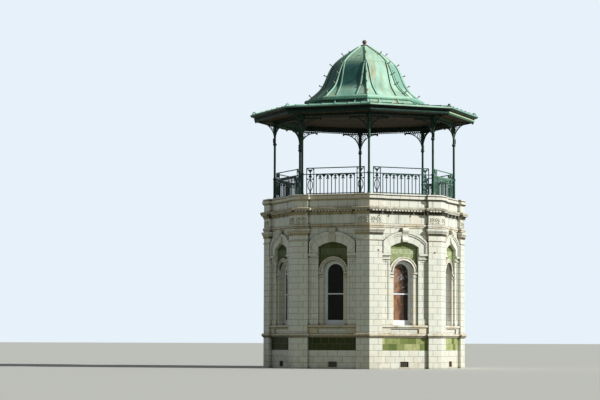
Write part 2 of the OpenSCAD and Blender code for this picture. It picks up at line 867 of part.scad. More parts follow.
module railing() {
    panel_in = ring_half - panel_gap - panel_w;
    color(IRON) {
        facing(ring_a - iron_t / 2, ring_a + iron_t / 2) translate([0, deck_z]) railing_shape();
        translate([-panel_in - 1, -ring_a, deck_z + hand_h - hand_d / 2]) rotate([0, 90, 0])
            cylinder(d = hand_d, h = 2 * panel_in + 2, $fn = 24);
    }
}

// Roof

module soffit() {
    inside = ring_a + beam_w / 2;
    outside = eave_a - 0.84 * gutter_d;
    mould = 40;
    color(IRON) ring_segments([[inside, soffit_z], [outside - mould, soffit_z],
        [outside - mould, soffit_z - mould], [outside - mould / 2, soffit_z - mould],
        [outside, soffit_z - mould / 3], [outside, gutter_z], [inside, gutter_z]]);
}

// A rounded gutter over a cove, with the fascia set back under it
GUTTER_SHAPE = [[-1, -1], [-0.8, -1], [-0.76, -0.96], [-0.76, -0.6], [-0.7, -0.57], [-0.6, -0.56],
    [-0.4, -0.5], [-0.18, -0.42], [-0.06, -0.35], [0, -0.27], [0, -0.07], [-0.06, 0], [-0.2, 0],
    [-0.28, -0.14], [-1, -0.14]];

module eave_gutter() {
    color(COPPER) ring_segments([for (p = GUTTER_SHAPE)
        [eave_a + p[0] * gutter_d, eave_z + p[1] * gutter_h]]);
}

roof_foot_a = eave_a - 0.32 * gutter_d;
roof_foot_z = eave_z - 0.14 * gutter_h;
shelf = 160;

module canopy_roof() {
    color(COPPER) ring_segments([
        [roof_foot_a, roof_foot_z], [roof_foot_a, roof_foot_z + roof_t],
        [skirt_a, skirt_z], [skirt_a - shelf, skirt_z], [skirt_a - shelf, skirt_z - roof_t],
        [eave_a - gutter_d, roof_foot_z]], hip_joint);
}

module canopy_hips() {
    from = [skirt_r, skirt_z];
    to = [roof_foot_a / cos(HALF), roof_foot_z + roof_t];
    run = norm(to - from);
    tilt = atan2(from[1] - to[1], to[0] - from[0]);
    curl_r = 0.65 * hip_d;
    color(COPPER) each_corner() {
        translate([0, -from[0], from[1]])
            rotate([90 + tilt, 0, 0]) cylinder(d = hip_d, h = run, $fn = 24);
        translate([0, 2 * curl_r - to[0], to[1] + curl_r]) rotate([0, 90, 0]) mirror([0, 1, 0])
            rotate_extrude(angle = 290, $fn = 24) translate([curl_r, 0]) circle(d = 0.7 * hip_d, $fn = 16);
    }
}

module skirt() {
    top_in = roll_a - roll_d;
    top_out = roll_a + 20;
    sag_in = 30;
    sag_down = 20;
    color(COPPER) ring_segments([
        [skirt_a - shelf, skirt_z], [skirt_a, skirt_z],
        [(skirt_a + top_out) / 2 - sag_in, (skirt_z + curb_z) / 2 - sag_down], [top_out, curb_z],
        [top_in, curb_z], [top_in, curb_z - roof_t]]);
}

module dome_roll() {
    color(COPPER) each_side() intersection() {
        translate([-REACH / 2, -roll_a, roll_z]) rotate([0, 90, 0])
            cylinder(d = roll_d, h = REACH, $fn = FINE);
        slice(joint);
    }
}

module dome_shell() {
    outer = dome_outline();
    inner = dome_outline(-roof_t);
    last = len(outer) - 1;
    color(COPPER) ring_segments(concat(
        [[dome_foot_a - roof_t, curb_z], [dome_foot_a, curb_z]], outer,
        [[dome_eye, dome_top], [dome_eye, dome_top - roof_t]], [for (i = [last : -1 : 1]) inner[i]]), hip_joint);
}

// A round bar swept along points of radius and height in a corner's plane
module swept_bar(path, r, sides = 8) {
    last = len(path) - 1;
    tangent = [for (i = [0 : last]) let (d = path[min(last, i + 1)] - path[max(0, i - 1)]) d / norm(d)];
    points = [for (i = [0 : last], a = [0 : sides - 1])
        let (u = r * cos(360 * a / sides), v = r * sin(360 * a / sides))
        [u, -(path[i][0] - v * tangent[i][1]), path[i][1] + v * tangent[i][0]]];
    rings = [for (i = [0 : last - 1], a = [0 : sides - 1]) let (b = (a + 1) % sides)
        [i * sides + a, i * sides + b, (i + 1) * sides + b, (i + 1) * sides + a]];
    ends = [[for (a = [sides - 1 : -1 : 0]) a], [for (a = [0 : sides - 1]) last * sides + a]];
    polyhedron(points, concat(rings, ends));
}

module hip_rolls() {
    path = [for (p = dome_outline()) if (p[0] > finial_r + hip_d / 2) [p[0] / cos(HALF), p[1]]];
    color(COPPER) each_corner() swept_bar(path, hip_d / 2);
}

module dome_ribs() {
    outer = [for (p = dome_outline()) if (p[0] * tan(HALF) > rib_x + rib_w / 2) p];
    last = len(outer) - 1;
    color(COPPER) each_side() for (s = [-1, 1]) translate([s * rib_x, 0, 0])
        along_side(concat(outer, [for (i = [last : -1 : 0]) outer[i] + [rib_out, rib_out / 2]]), rib_w);
}

module finial() {
    knob_z = dome_top + finial_h - knob_d / 2;
    color(OCHRE) rotate_extrude($fn = FINE) polygon(concat(
        [[0, dome_top], [finial_r, dome_top], [finial_r + 10, dome_top + 20], [0.6 * finial_r, dome_top + 50],
        [0.35 * finial_r, dome_top + 66]],
        [for (a = [-60 : 15 : 90]) [knob_d / 2 * cos(a), knob_z + knob_d / 2 * sin(a)]]));
}

module wall_front_right() { on_side(0) window_wall(); }
module wall_right() { on_side(1) window_wall(); }
module wall_rear_right() { on_side(2) window_wall(); }
module party_wall_back_right() { on_side(3) party_wall(); }
module party_wall_back_left() { on_side(4) party_wall(); }
module wall_rear_left() { on_side(5) window_wall(); }
module wall_left() { on_side(6) window_wall(); }
module wall_front_left() { on_side(7) window_wall(); }
module railing_front_right() { on_side(0) railing(); }
module railing_right() { on_side(1) railing(); }
module railing_rear_right() { on_side(2) railing(); }
module railing_rear_left() { on_side(5) railing(); }
module railing_left() { on_side(6) railing(); }
module railing_front_left() { on_side(7) railing(); }

ground_floor();
corner_piers();
wall_front_right();
wall_right();
wall_rear_right();
party_wall_back_right();
party_wall_back_left();
wall_rear_left();
wall_left();
wall_front_left();
string_course();
window_sills();
apron_tiles();
tympanum_tiles();
window_arches();
window_hoods();
keystones();
window_frames();
window_glass();
air_vents();
pier_capitals();
frieze();
cornice();
parapet();
coping();
roof_deck();
columns();
arch_brackets();
eave_brackets();
fret_panels();
ring_beam();
ceiling();
soffit();
eave_gutter();
canopy_roof();
canopy_hips();
skirt();
dome_roll();
dome_shell();
hip_rolls();
dome_ribs();
finial();
railing_front_right();
railing_right();
railing_rear_right();
railing_rear_left();
railing_left();
railing_front_left();
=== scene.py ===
# %% [markdown]
# # A bandstand on an octagonal pavilion
# An eight-sided pavilion faced in cream glazed blocks carries an open iron bandstand under a ribbed copper
# dome. The solid model gives every wall, moulding and bar its place, so this script starts from it and
# never moves it. What it adds is the finish: joints between blocks, tiles, boards and sheets, rounded
# edges on the iron, small castings, and the materials.

# %% Load the frame
import math
import random
from bisect import bisect_left

import bmesh
import bpy
from mathutils import Matrix, Vector
from mathutils.bvhtree import BVHTree


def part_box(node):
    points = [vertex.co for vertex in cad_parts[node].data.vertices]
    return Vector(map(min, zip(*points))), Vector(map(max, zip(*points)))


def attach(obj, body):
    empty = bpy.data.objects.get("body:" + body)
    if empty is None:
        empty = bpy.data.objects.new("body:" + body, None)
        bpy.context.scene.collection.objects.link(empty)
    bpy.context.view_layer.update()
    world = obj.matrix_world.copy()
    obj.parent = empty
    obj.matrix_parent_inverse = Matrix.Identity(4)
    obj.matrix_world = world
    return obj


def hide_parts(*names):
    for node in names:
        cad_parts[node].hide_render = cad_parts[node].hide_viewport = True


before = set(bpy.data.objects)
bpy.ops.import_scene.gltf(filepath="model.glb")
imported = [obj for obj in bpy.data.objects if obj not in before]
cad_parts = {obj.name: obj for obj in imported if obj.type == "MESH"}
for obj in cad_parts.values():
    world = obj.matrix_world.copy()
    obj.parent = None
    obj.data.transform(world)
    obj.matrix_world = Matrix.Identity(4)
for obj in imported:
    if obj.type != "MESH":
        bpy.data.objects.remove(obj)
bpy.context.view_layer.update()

# %% [markdown]
# ## The camera
# A long lens stands at eye height, well back from the front corner, and tips up a little. Its place was
# worked out from the corners of the coping, the eave and the base. It could be aimed with a Track To
# constraint, but a matrix made from the directions to the right, up and back also keeps its small roll. A
# camera looks along its own -Z axis.

# %% Camera
PHOTO_W = 600
SENSOR = 36.0
camera_distance = 87.45
camera_turn = math.radians(2.84)
eye_height = 1.156
look_turn = math.radians(-1.828)
look_up = math.radians(3.986)
camera_roll = math.radians(0.186)
focal_pixels = 2020.4

heading = camera_turn + look_turn
forward = Vector((math.sin(heading) * math.cos(look_up), math.cos(heading) * math.cos(look_up),
                  math.sin(look_up)))
right = Vector((math.cos(heading), -math.sin(heading), 0))
level_up = right.cross(forward)
tilted_right = right * math.cos(camera_roll) + level_up * math.sin(camera_roll)
tilted_up = level_up * math.cos(camera_roll) - right * math.sin(camera_roll)
camera_data = bpy.data.cameras.new("camera")
camera_data.sensor_width = SENSOR
camera_data.lens = focal_pixels * SENSOR / PHOTO_W
camera_data.clip_end = 2000
camera = bpy.data.objects.new("camera", camera_data)
turned = Matrix((tilted_right, tilted_up, -forward)).transposed().to_4x4()
place = Vector((-camera_distance * math.sin(camera_turn), -camera_distance * math.cos(camera_turn),
                eye_height))
camera.matrix_world = Matrix.Translation(place) @ turned
scene = bpy.context.scene
scene.collection.objects.link(camera)
scene.camera = camera
scene.view_settings.view_transform = "Standard"
print("lens", round(camera_data.lens, 1), "mm")

# %% [markdown]
# ## A few tools for materials
# Every finish is a small node tree. It could be wired by hand in the Shader Editor, but the same few
# nodes come back in each one, so helpers make them: add makes a node and fills its inputs, mix and calc
# join two colours or two numbers, and span turns a number into a soft mask.

# %% Material helpers
def start(name, roughness=0.5, **values):
    """A new material and its node tree. values are more settings of its shader."""
    print("material", name)
    material = bpy.data.materials.new(name)
    material.use_nodes = True
    shader = material.node_tree.nodes["Principled BSDF"]
    shader.inputs["Roughness"].default_value = roughness
    for key, value in values.items():
        shader.inputs[key.replace("_", " ")].default_value = value
    return material, material.node_tree


def add(tree, kind, inputs=(), out=0, **settings):
    """A node. inputs holds pairs of a socket and its value, or the output that feeds it."""
    made = tree.nodes.new("ShaderNode" + kind)
    for key, value in settings.items():
        setattr(made, key, value)
    for socket, value in inputs:
        if isinstance(value, bpy.types.NodeSocket):
            tree.links.new(value, made.inputs[socket])
        else:
            made.inputs[socket].default_value = value
    return made.outputs[out]


def mix(tree, factor, first, second):
    """Two colours mixed. Each is an output or three numbers."""
    colours = [c if isinstance(c, bpy.types.NodeSocket) else (*c, 1) for c in (first, second)]
    return add(tree, "Mix", [(0, factor), (6, colours[0]), (7, colours[1])], out=2, data_type="RGBA")


def calc(tree, first, second, operation="MULTIPLY"):
    return add(tree, "Math", [(0, first), (1, second)], operation=operation)


def span(tree, value, low, high, to_low=0.0, to_high=1.0):
    """value from low to high, made to run from to_low to to_high and no further."""
    return add(tree, "MapRange", [("Value", value), ("From Min", low), ("From Max", high),
                                  ("To Min", to_low), ("To Max", to_high)])


# %% [markdown]
# ## Patterns on the surface
# Clay, paint and weather make patterns of every size, from clouds to flecks. They could be painted on an
# image, but noise needs no unwrapping and stays sharp from close up. It reads Object coordinates, which
# are metres because each object sits at the origin unscaled.

# %% Patterns
def coordinates(tree):
    return add(tree, "TexCoord", out="Object")


def axis_of(tree, vector, axis):
    return add(tree, "SeparateXYZ", [(0, vector)], out=axis)


def height(tree):
    return axis_of(tree, coordinates(tree), "Z")


def noise(tree, scale, stretch=(1, 1, 1), detail=4.0, roughness=0.55, vector=None):
    """Noise on the object, drawn out along an axis where stretch is small."""
    vector = vector or coordinates(tree)
    placed = add(tree, "Mapping", [("Vector", vector), ("Scale", stretch)])
    return add(tree, "TexNoise", [("Vector", placed), ("Scale", scale), ("Detail", detail),
                                  ("Roughness", roughness)])


def stained(tree, base, colour, value, low, high, amount):
    """base, drawn towards colour by up to amount as value runs from low to high."""
    return mix(tree, span(tree, value, low, high, 0.0, amount), base, colour)


def ramp(tree, value, stops):
    """A colour ramp. stops are pairs of place and colour."""
    made = tree.nodes.new("ShaderNodeValToRGB")
    elements = made.color_ramp.elements
    while len(elements) < len(stops):
        elements.new(0.5)
    for element, (place, colour) in zip(elements, stops):
        element.position = place
        element.color = (*colour, 1)
    tree.links.new(value, made.inputs[0])
    return made.outputs[0]


def tone(tree):
    """The number from 0 to 1 that each block, tile or board was given."""
    return add(tree, "Attribute", out="Fac", attribute_name="tone")


# %% [markdown]
# ## Where sun, shade and dirt reach
# Level ledges hold soot. Inner corners hold some dirt and are also painted darker as shade, and several
# finishes paint the side that faces the sun lighter, as painted light. Each mask comes from the surface
# itself, from where it faces and how hidden it is, so it follows every edge without being drawn.

# %% Masks from the surface
def ray_is(tree, kind):
    """1 for a ray of this kind, such as Camera, and 0 for the others."""
    return add(tree, "LightPath", out="Is " + kind + " Ray")


def facing_up(tree):
    """How far the surface looks upwards, from -1 to 1."""
    return axis_of(tree, add(tree, "NewGeometry", out="Normal"), "Z")


def facing_right(tree):
    """How far the surface looks along +X, the side that the light comes from."""
    return axis_of(tree, add(tree, "NewGeometry", out="Normal"), "X")


def corner_dirt_and_shade(tree, base, reach=0.14, amount=0.85, colour=(0.075, 0.065, 0.045)):
    """Painted shade, partly dirt: inner corners and hollows under ledges darken by how hidden they are."""
    hidden = add(tree, "AmbientOcclusion", [("Distance", reach)], out="AO", samples=6)
    return stained(tree, base, colour, hidden, 0.72, 0.38, amount)


def finished(material, colour, relief, strength, distance, roughness=None):
    """Gives the shader its colour, its bumps and, where it varies, its roughness."""
    tree = material.node_tree
    bumps = add(tree, "Bump", [("Height", relief), ("Strength", strength), ("Distance", distance)])
    for socket, output in (("Base Color", colour), ("Normal", bumps), ("Roughness", roughness)):
        if output is not None:
            tree.links.new(output, tree.nodes["Principled BSDF"].inputs[socket])
    return material


# %% [markdown]
# ## The sun
# The right-hand sides are lit and the left-hand ones are in shade. An area lamp would fade over fourteen
# metres of height, so a sun is used, and its small angle softens the shadows a little.

# %% Sun
sun_turn = math.radians(70)
sun_height = math.radians(31)
sun_data = bpy.data.lights.new("sun", "SUN")
sun_data.energy = 4.65
sun_data.angle = math.radians(2)
sun_data.color = (1.0, 0.98, 0.94)
sun = bpy.data.objects.new("sun", sun_data)
sun_from = Vector((math.sin(sun_turn) * math.cos(sun_height), -math.cos(sun_turn) * math.cos(sun_height),
                   math.sin(sun_height)))
sun.rotation_euler = sun_from.to_track_quat("Z", "Y").to_euler()
scene.collection.objects.link(sun)
print("sun from", [round(c, 2) for c in sun_from])

# %% [markdown]
# ## World and floor
# The even world fills the shade, and the floor catches the shadow. The background is pale where the
# camera or a view through glass sees it and dimmer in a reflection, and the floor is pale only for the
# camera, which leaves the light on the object as it is.

# %% World and floor
world = bpy.data.worlds.new("studio")
scene.world = world
world.use_nodes = True
sky = world.node_tree
fill = sky.nodes["Background"]
fill.inputs["Color"].default_value = (0.90, 0.97, 1.0, 1)
fill.inputs["Strength"].default_value = 0.165
pale = add(sky, "Background", [("Color", (0.80, 0.88, 0.95, 1))])
seen = calc(sky, ray_is(sky, "Camera"), ray_is(sky, "Transmission"), "MAXIMUM")
seen = calc(sky, seen, calc(sky, ray_is(sky, "Glossy"), 0.35), "MAXIMUM")
shown = add(sky, "MixShader", [("Fac", seen), (1, fill.outputs[0]), (2, pale)])
sky.links.new(shown, sky.nodes["World Output"].inputs["Surface"])

FLOOR_REACH = 900
floor_mesh = bpy.data.meshes.new("floor")
floor_bm = bmesh.new()
bmesh.ops.create_grid(floor_bm, x_segments=1, y_segments=1, size=FLOOR_REACH)
floor_bm.to_mesh(floor_mesh)
floor_bm.free()
floor = bpy.data.objects.new("floor", floor_mesh)
scene.collection.objects.link(floor)
studio_floor, floor_tree = start("studio_floor", 0.9)
floor_seen = mix(floor_tree, ray_is(floor_tree, "Camera"), (0.27, 0.29, 0.23), (0.54, 0.55, 0.52))
floor_tree.links.new(floor_seen, floor_tree.nodes["Principled BSDF"].inputs["Base Color"])
floor_mesh.materials.append(studio_floor)

# %% [markdown]
# ## Glazed blocks
# The blocks are fired clay with a cream glaze. Each came out of the kiln a little different, so its
# colour starts from its own tone. Weather adds the rest: clouds of yellow, dark runs under the cornice
# and the coping, and earth splashed on the lowest courses. One colour would look like plastic, so the
# coats are laid one over the other, as they came on the real blocks.

# %% Block glaze
RUNS_LOW, RUNS_HIGH = 4.60, 6.95
SPLASH_HIGH = 1.0


def weather(tree, base):
    """Dark runs that start under the coping and fade out on their way down."""
    falls = span(tree, noise(tree, 5.0, (1, 1, 0.09), 5.0), 0.50, 0.72)
    patches = span(tree, noise(tree, 0.9, (1, 1, 0.6), 3.0), 0.42, 0.62)
    near = span(tree, height(tree), RUNS_LOW, RUNS_HIGH, 0.0, 0.75)
    return mix(tree, calc(tree, calc(tree, falls, patches), near), base, (0.14, 0.135, 0.11))


def block_glaze(name="block_glaze", warm=0.0):
    material, tree = start(name, Coat_Weight=0.12, Coat_Roughness=0.2)
    base = ramp(tree, tone(tree), [
        (0.0, (0.71, 0.735, 0.65)), (0.15, (0.77, 0.79, 0.70)), (0.90, (0.82, 0.83, 0.745)),
        (0.97, (0.81, 0.80, 0.70)), (1.0, (0.80, 0.77, 0.66))])
    clouds = span(tree, noise(tree, 0.8, detail=5.0), 0.48, 0.78, warm, warm + 0.22)
    base = mix(tree, clouds, base, (0.73, 0.68, 0.50))
    grime = span(tree, noise(tree, 3.2, detail=7.0, roughness=0.7), 0.56, 0.80, 0.0, 0.30)
    base = mix(tree, grime, base, (0.42, 0.40, 0.31))
    base = weather(tree, base)
    near_ground = span(tree, height(tree), SPLASH_HIGH, 0.0, 0.0, 0.50)
    splash = calc(tree, near_ground, span(tree, noise(tree, 2.4), 0.40, 0.66))
    base = mix(tree, splash, base, (0.55, 0.42, 0.29))
    lies = span(tree, facing_up(tree), 0.12, 0.45, 0.0, 0.8)
    ledge = calc(tree, lies, span(tree, noise(tree, 4.0), 0.35, 0.6))
    base = mix(tree, ledge, base, (0.47, 0.36, 0.21))
    rough = span(tree, noise(tree, 6.0, detail=6.0), 0.35, 0.70, 0.16, 0.42)
    # Painted shade, partly dirt: inner corners and recesses of the blocks are darkened.
    base = corner_dirt_and_shade(tree, base)
    return finished(material, base, noise(tree, 9.0, detail=2.0), 0.12, 0.003, rough)


# %% [markdown]
# ## Glazed mouldings
# String course, cornice, coping and capitals have the same glaze, but water drips from their edges and
# leaves ochre, soot and dark runs, more on one than on another. Their undersides are also painted darker
# as shade, and their sides away from the sun get a painted ochre tint. Each could have a node tree of its
# own, but one function with an amount for each coat makes all of them.

# %% Moulding glaze
def moulding_glaze(name, ochre, dark, cream=1.0, underside_shade=0.9, corners=0.85, shade_ochre=0.30):
    """cream is how far the glaze leans from white. The next three set painted shade: how dark the
    underside is, how dark the inner corners are, and how much ochre tints the sides away from the sun."""
    material, tree = start(name, Coat_Weight=0.1, Coat_Roughness=0.25)
    base = ramp(tree, tone(tree), [
        (0.0, (0.78 - 0.06 * cream, 0.79 - 0.09 * cream, 0.71 - 0.13 * cream)), (0.5, (0.82, 0.82, 0.74)),
        (1.0, (0.82 - 0.05 * cream, 0.81 - 0.10 * cream, 0.72 - 0.17 * cream))])
    stain = noise(tree, 1.6, (1, 1, 1.6), 6.0, 0.65)
    stain = span(tree, stain, 0.62 - 0.4 * ochre, 0.80 - 0.2 * ochre, 0.0, 0.9)
    base = mix(tree, stain, base, (0.54, 0.40, 0.20))
    above = span(tree, facing_up(tree), 0.25, 0.8)
    soot = span(tree, noise(tree, 2.6, detail=7.0, roughness=0.7), 0.62 - 0.25 * dark, 0.74)
    lying = calc(tree, calc(tree, above, 0.35, "MAXIMUM"), soot)
    base = mix(tree, calc(tree, lying, 0.85), base, (0.15, 0.14, 0.11))
    falls = noise(tree, 6.5, (1, 1, 0.12), 5.0)
    base = stained(tree, base, (0.20, 0.18, 0.14), falls, 0.58, 0.72, dark)
    # Painted shade tint: surfaces facing away from the sun are drawn towards ochre.
    base = stained(tree, base, (0.50, 0.40, 0.22), facing_right(tree), 0.05, -0.10, shade_ochre)
    # Painted shade: the underside is darkened.
    base = stained(tree, base, (0.060, 0.048, 0.030), facing_up(tree), -0.15, -0.50, underside_shade)
    # Painted shade, partly dirt: inner corners and hollows are darkened.
    base = corner_dirt_and_shade(tree, base, amount=corners)
    rough = span(tree, soot, 0.0, 1.0, 0.28, 0.75)
    return finished(material, base, noise(tree, 14.0, detail=4.0), 0.3, 0.004, rough)


# %% [markdown]
# ## Mortar, and the set of glazes
# Grey mortar lies between the glossy blocks, and it shows as a joint because it is dull. It could stay one
# flat grey, but a coarse noise keeps it from looking like a drawn line. After it each glaze is made once,
# and the pieces that wear it share it.

# %% Mortar and glazes
def mortar_finish():
    material, tree = start("mortar", 0.92)
    base = ramp(tree, noise(tree, 7.0, detail=6.0), [
        (0.3, (0.17, 0.165, 0.135)), (0.7, (0.32, 0.30, 0.25))])
    return finished(material, base, noise(tree, 220.0), 0.4, 0.002)


block = block_glaze()
party_block = block_glaze("party_block_glaze", warm=0.16)
string_glaze = moulding_glaze("string_glaze", ochre=0.50, dark=0.45, shade_ochre=0.5)
cornice_glaze = moulding_glaze("cornice_glaze", ochre=0.30, dark=0.60)
coping_glaze = moulding_glaze("coping_glaze", ochre=0.0, dark=0.30, cream=0.3)
arch_glaze = moulding_glaze("arch_glaze", ochre=0.02, dark=0.08)
relief_glaze = moulding_glaze("relief_glaze", ochre=0.05, dark=0.2, corners=0.15, shade_ochre=0.0)
keystone_glaze = moulding_glaze("keystone_glaze", ochre=0.0, dark=0.0, cream=0.4, underside_shade=0.4,
                                shade_ochre=0.45)
capital_glaze = moulding_glaze("capital_glaze", ochre=0.22, dark=0.30, cream=0.5, underside_shade=0.5)
tooth_glaze = moulding_glaze("tooth_glaze", ochre=0.05, dark=0.1, cream=0.6)
mortar = mortar_finish()

# %% [markdown]
# ## Green tile glaze
# The tiles have a mottled green glaze that pooled as it melted. A ramp on each tile's own tone sets its
# green, and two noises lay the pools and the pale flecks over it, because one texture can't give both
# sizes.

# %% Tile glaze
def tile_glaze():
    """The upper tiles are paler than the ones near the ground."""
    material, tree = start("green_glaze", 0.38, Specular_IOR_Level=0.06)
    low = ramp(tree, tone(tree), [
        (0.0, (0.12, 0.16, 0.045)), (0.25, (0.23, 0.27, 0.09)), (0.5, (0.34, 0.38, 0.15)),
        (0.8, (0.43, 0.47, 0.20)), (1.0, (0.50, 0.52, 0.26))])
    high = ramp(tree, tone(tree), [
        (0.0, (0.19, 0.24, 0.09)), (0.5, (0.36, 0.42, 0.21)), (1.0, (0.52, 0.59, 0.37))])
    base = mix(tree, span(tree, height(tree), 1.5, 4.0), low, high)
    pools = span(tree, noise(tree, 7.0, detail=6.0, roughness=0.7), 0.42, 0.70, 0.0, 0.65)
    base = mix(tree, pools, base, (0.14, 0.18, 0.055))
    base = stained(tree, base, (0.48, 0.53, 0.30), noise(tree, 34.0, detail=3.0), 0.60, 0.74, 0.5)
    # Painted shade: tiles on the sides away from the sun are darkened, most near the ground.
    shady = span(tree, facing_right(tree), -0.1, -0.3)
    lowest = span(tree, height(tree), 2.5, 1.5, 0.68, 0.92)
    base = mix(tree, calc(tree, shady, lowest), base, (0.035, 0.045, 0.014))
    # Painted shade, partly dirt: the corners round the tiles are darkened.
    base = corner_dirt_and_shade(tree, base, 0.10, 0.9, (0.02, 0.022, 0.008))
    return finished(material, base, noise(tree, 12.0, detail=3.0), 0.35, 0.004)


# %% [markdown]
# ## Sash paint
# The sashes are white over old coats, and rain has worn them downwards. Noise that is drawn out along the
# height makes the wear, and the same noise makes the worn places duller.

# %% Sash paint
def sash_paint():
    material, tree = start("sash_paint")
    patchy = span(tree, noise(tree, 9.0, (1, 1, 0.3), 6.0, 0.7), 0.55, 0.74)
    base = mix(tree, patchy, (0.88, 0.93, 1.0), (0.80, 0.83, 0.86))
    base = stained(tree, base, (0.52, 0.50, 0.44), noise(tree, 3.0), 0.5, 0.7, 0.20)
    rough = span(tree, patchy, 0.0, 1.0, 0.28, 0.6)
    return finished(material, base, noise(tree, 60.0, (1, 1, 0.1)), 0.2, 0.001, rough)


# %% [markdown]
# ## Window glass
# The panes show the dark room behind them. Clear glass would show the plain inside of the walls, so the
# room is painted on the pane itself as painted shade, with painted brown light on the sunny sides and a
# painted pale reflection, from how far along its side and how high each point lies.

# %% Window glass
def painted_room_glass():
    """Painted shade away from the sun; painted brown light and a pale painted reflection on the sunny
    sides.
    """
    material, tree = start("window_glass", 0.08, Specular_IOR_Level=0.12)
    place = add(tree, "UVMap", uv_map="window")
    panes = noise(tree, 1.3, (1, 1, 0.8), 4.0)
    dark = ramp(tree, panes, [(0.35, (0.010, 0.010, 0.008)), (0.70, (0.024, 0.024, 0.016))])
    waves = span(tree, noise(tree, 5.0, detail=5.0), 0.3, 0.7, -0.12, 0.12)
    wavy = calc(tree, waves, axis_of(tree, place, "X"), "ADD")
    brown = ramp(tree, span(tree, wavy, -0.30, 0.30), [
        (0.05, (0.34, 0.185, 0.115)), (0.36, (0.25, 0.130, 0.080)), (0.52, (0.085, 0.056, 0.040)),
        (0.90, (0.045, 0.034, 0.027))])
    stripes = noise(tree, 9.0, (1, 1, 0.25), 4.0)
    brown = stained(tree, brown, (0.040, 0.020, 0.012), stripes, 0.48, 0.62, 0.5)
    # Painted reflection: pale loops high on the pane.
    loops = calc(tree, noise(tree, 3.2, detail=2.0), 0.5, "SUBTRACT")
    loops = span(tree, calc(tree, loops, 0.0, "ABSOLUTE"), 0.030, 0.0, 0.0, 0.75)
    loops = calc(tree, loops, span(tree, axis_of(tree, place, "Y"), 3.0, 3.3))
    brown = mix(tree, loops, brown, (0.33, 0.34, 0.37))
    # Painted light and shade: brown on the sides facing the sun, near-black on the others.
    base = mix(tree, span(tree, facing_right(tree), 0.0, 0.2), dark, brown)
    return finished(material, base, noise(tree, 3.0, detail=1.0), 0.12, 0.01)


green_glaze = tile_glaze()
white_paint = sash_paint()
glass = painted_room_glass()

# %% [markdown]
# ## Iron paint
# The castings are painted a dark green that has chalked and chipped. The side that the sun reaches is
# painted pale as light, and darker copies of the paint stand for the shade under the eave. A metal shader
# would mirror the sky, but only the paint shows, so it is a rough coat without metal.

# %% Iron paint
FASCIA_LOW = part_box("eave_gutter")[0].z


def iron_paint(name="iron_paint", shade=1.0):
    """Dark green and rusty in spots, painted pale as light on the side that the sun reaches."""
    material, tree = start(name, Specular_IOR_Level=0.25)
    chalk = span(tree, noise(tree, 3.5, detail=6.0, roughness=0.65), 0.40, 0.70)
    # Painted shade: shade scales the colours down for the copies under the eave.
    dark, light = [[shade * c for c in colour] for colour in ((0.007, 0.028, 0.022), (0.020, 0.085, 0.064))]
    base = mix(tree, chalk, dark, light)
    base = stained(tree, base, (0.16, 0.30, 0.24), facing_up(tree), 0.4, 1.0, 0.55 * shade)
    # Painted light: surfaces facing the sun are drawn pale green.
    base = stained(tree, base, (0.19, 0.38, 0.27), facing_right(tree), 0.45, 0.92, 0.65 * shade)
    rust = span(tree, noise(tree, 17.0, detail=8.0, roughness=0.75), 0.66, 0.76, 0.0, 0.75)
    base = mix(tree, rust, base, (0.10, 0.042, 0.018))
    rough = span(tree, chalk, 0.0, 1.0, 0.32, 0.60)
    return finished(material, base, noise(tree, 90.0, detail=4.0), 0.35, 0.0015, rough)


def fascia_finish():
    """Painted shadow and light: nearly black under the gutter's lip, with a painted sunlit line along its
    lower edge, palest on the sides facing the sun.
    """
    material, tree = start("fascia_paint", 0.6, Specular_IOR_Level=0.15)
    # Painted light: the edge line runs from dark away from the sun to pale green facing it.
    edge = ramp(tree, span(tree, facing_right(tree), 0.0, 1.0), [
        (0.0, (0.012, 0.034, 0.027)), (0.38, (0.050, 0.12, 0.095)), (0.92, (0.46, 0.62, 0.37))])
    low = span(tree, height(tree), FASCIA_LOW + 0.058, FASCIA_LOW + 0.046)
    # Painted shadow: above the edge line the fascia is nearly black.
    base = mix(tree, low, (0.008, 0.018, 0.014), edge)
    base = stained(tree, base, (0.020, 0.030, 0.022), noise(tree, 12.0, detail=6.0), 0.52, 0.66, 0.6)
    return finished(material, base, noise(tree, 60.0, detail=4.0), 0.3, 0.0015)


# %% [markdown]
# ## Copper patina
# The patina is painted mint on the sides facing the sun and dark teal on the others, as painted light and
# shade, and a sheet that lies flat is left pale.
# It is a dull mineral, so the shader isn't metal either. Rain draws brown streaks down it, and plain
# noise would make blots, so the streaks are read on the angle round the axis and on the height, and are
# drawn out along the height.

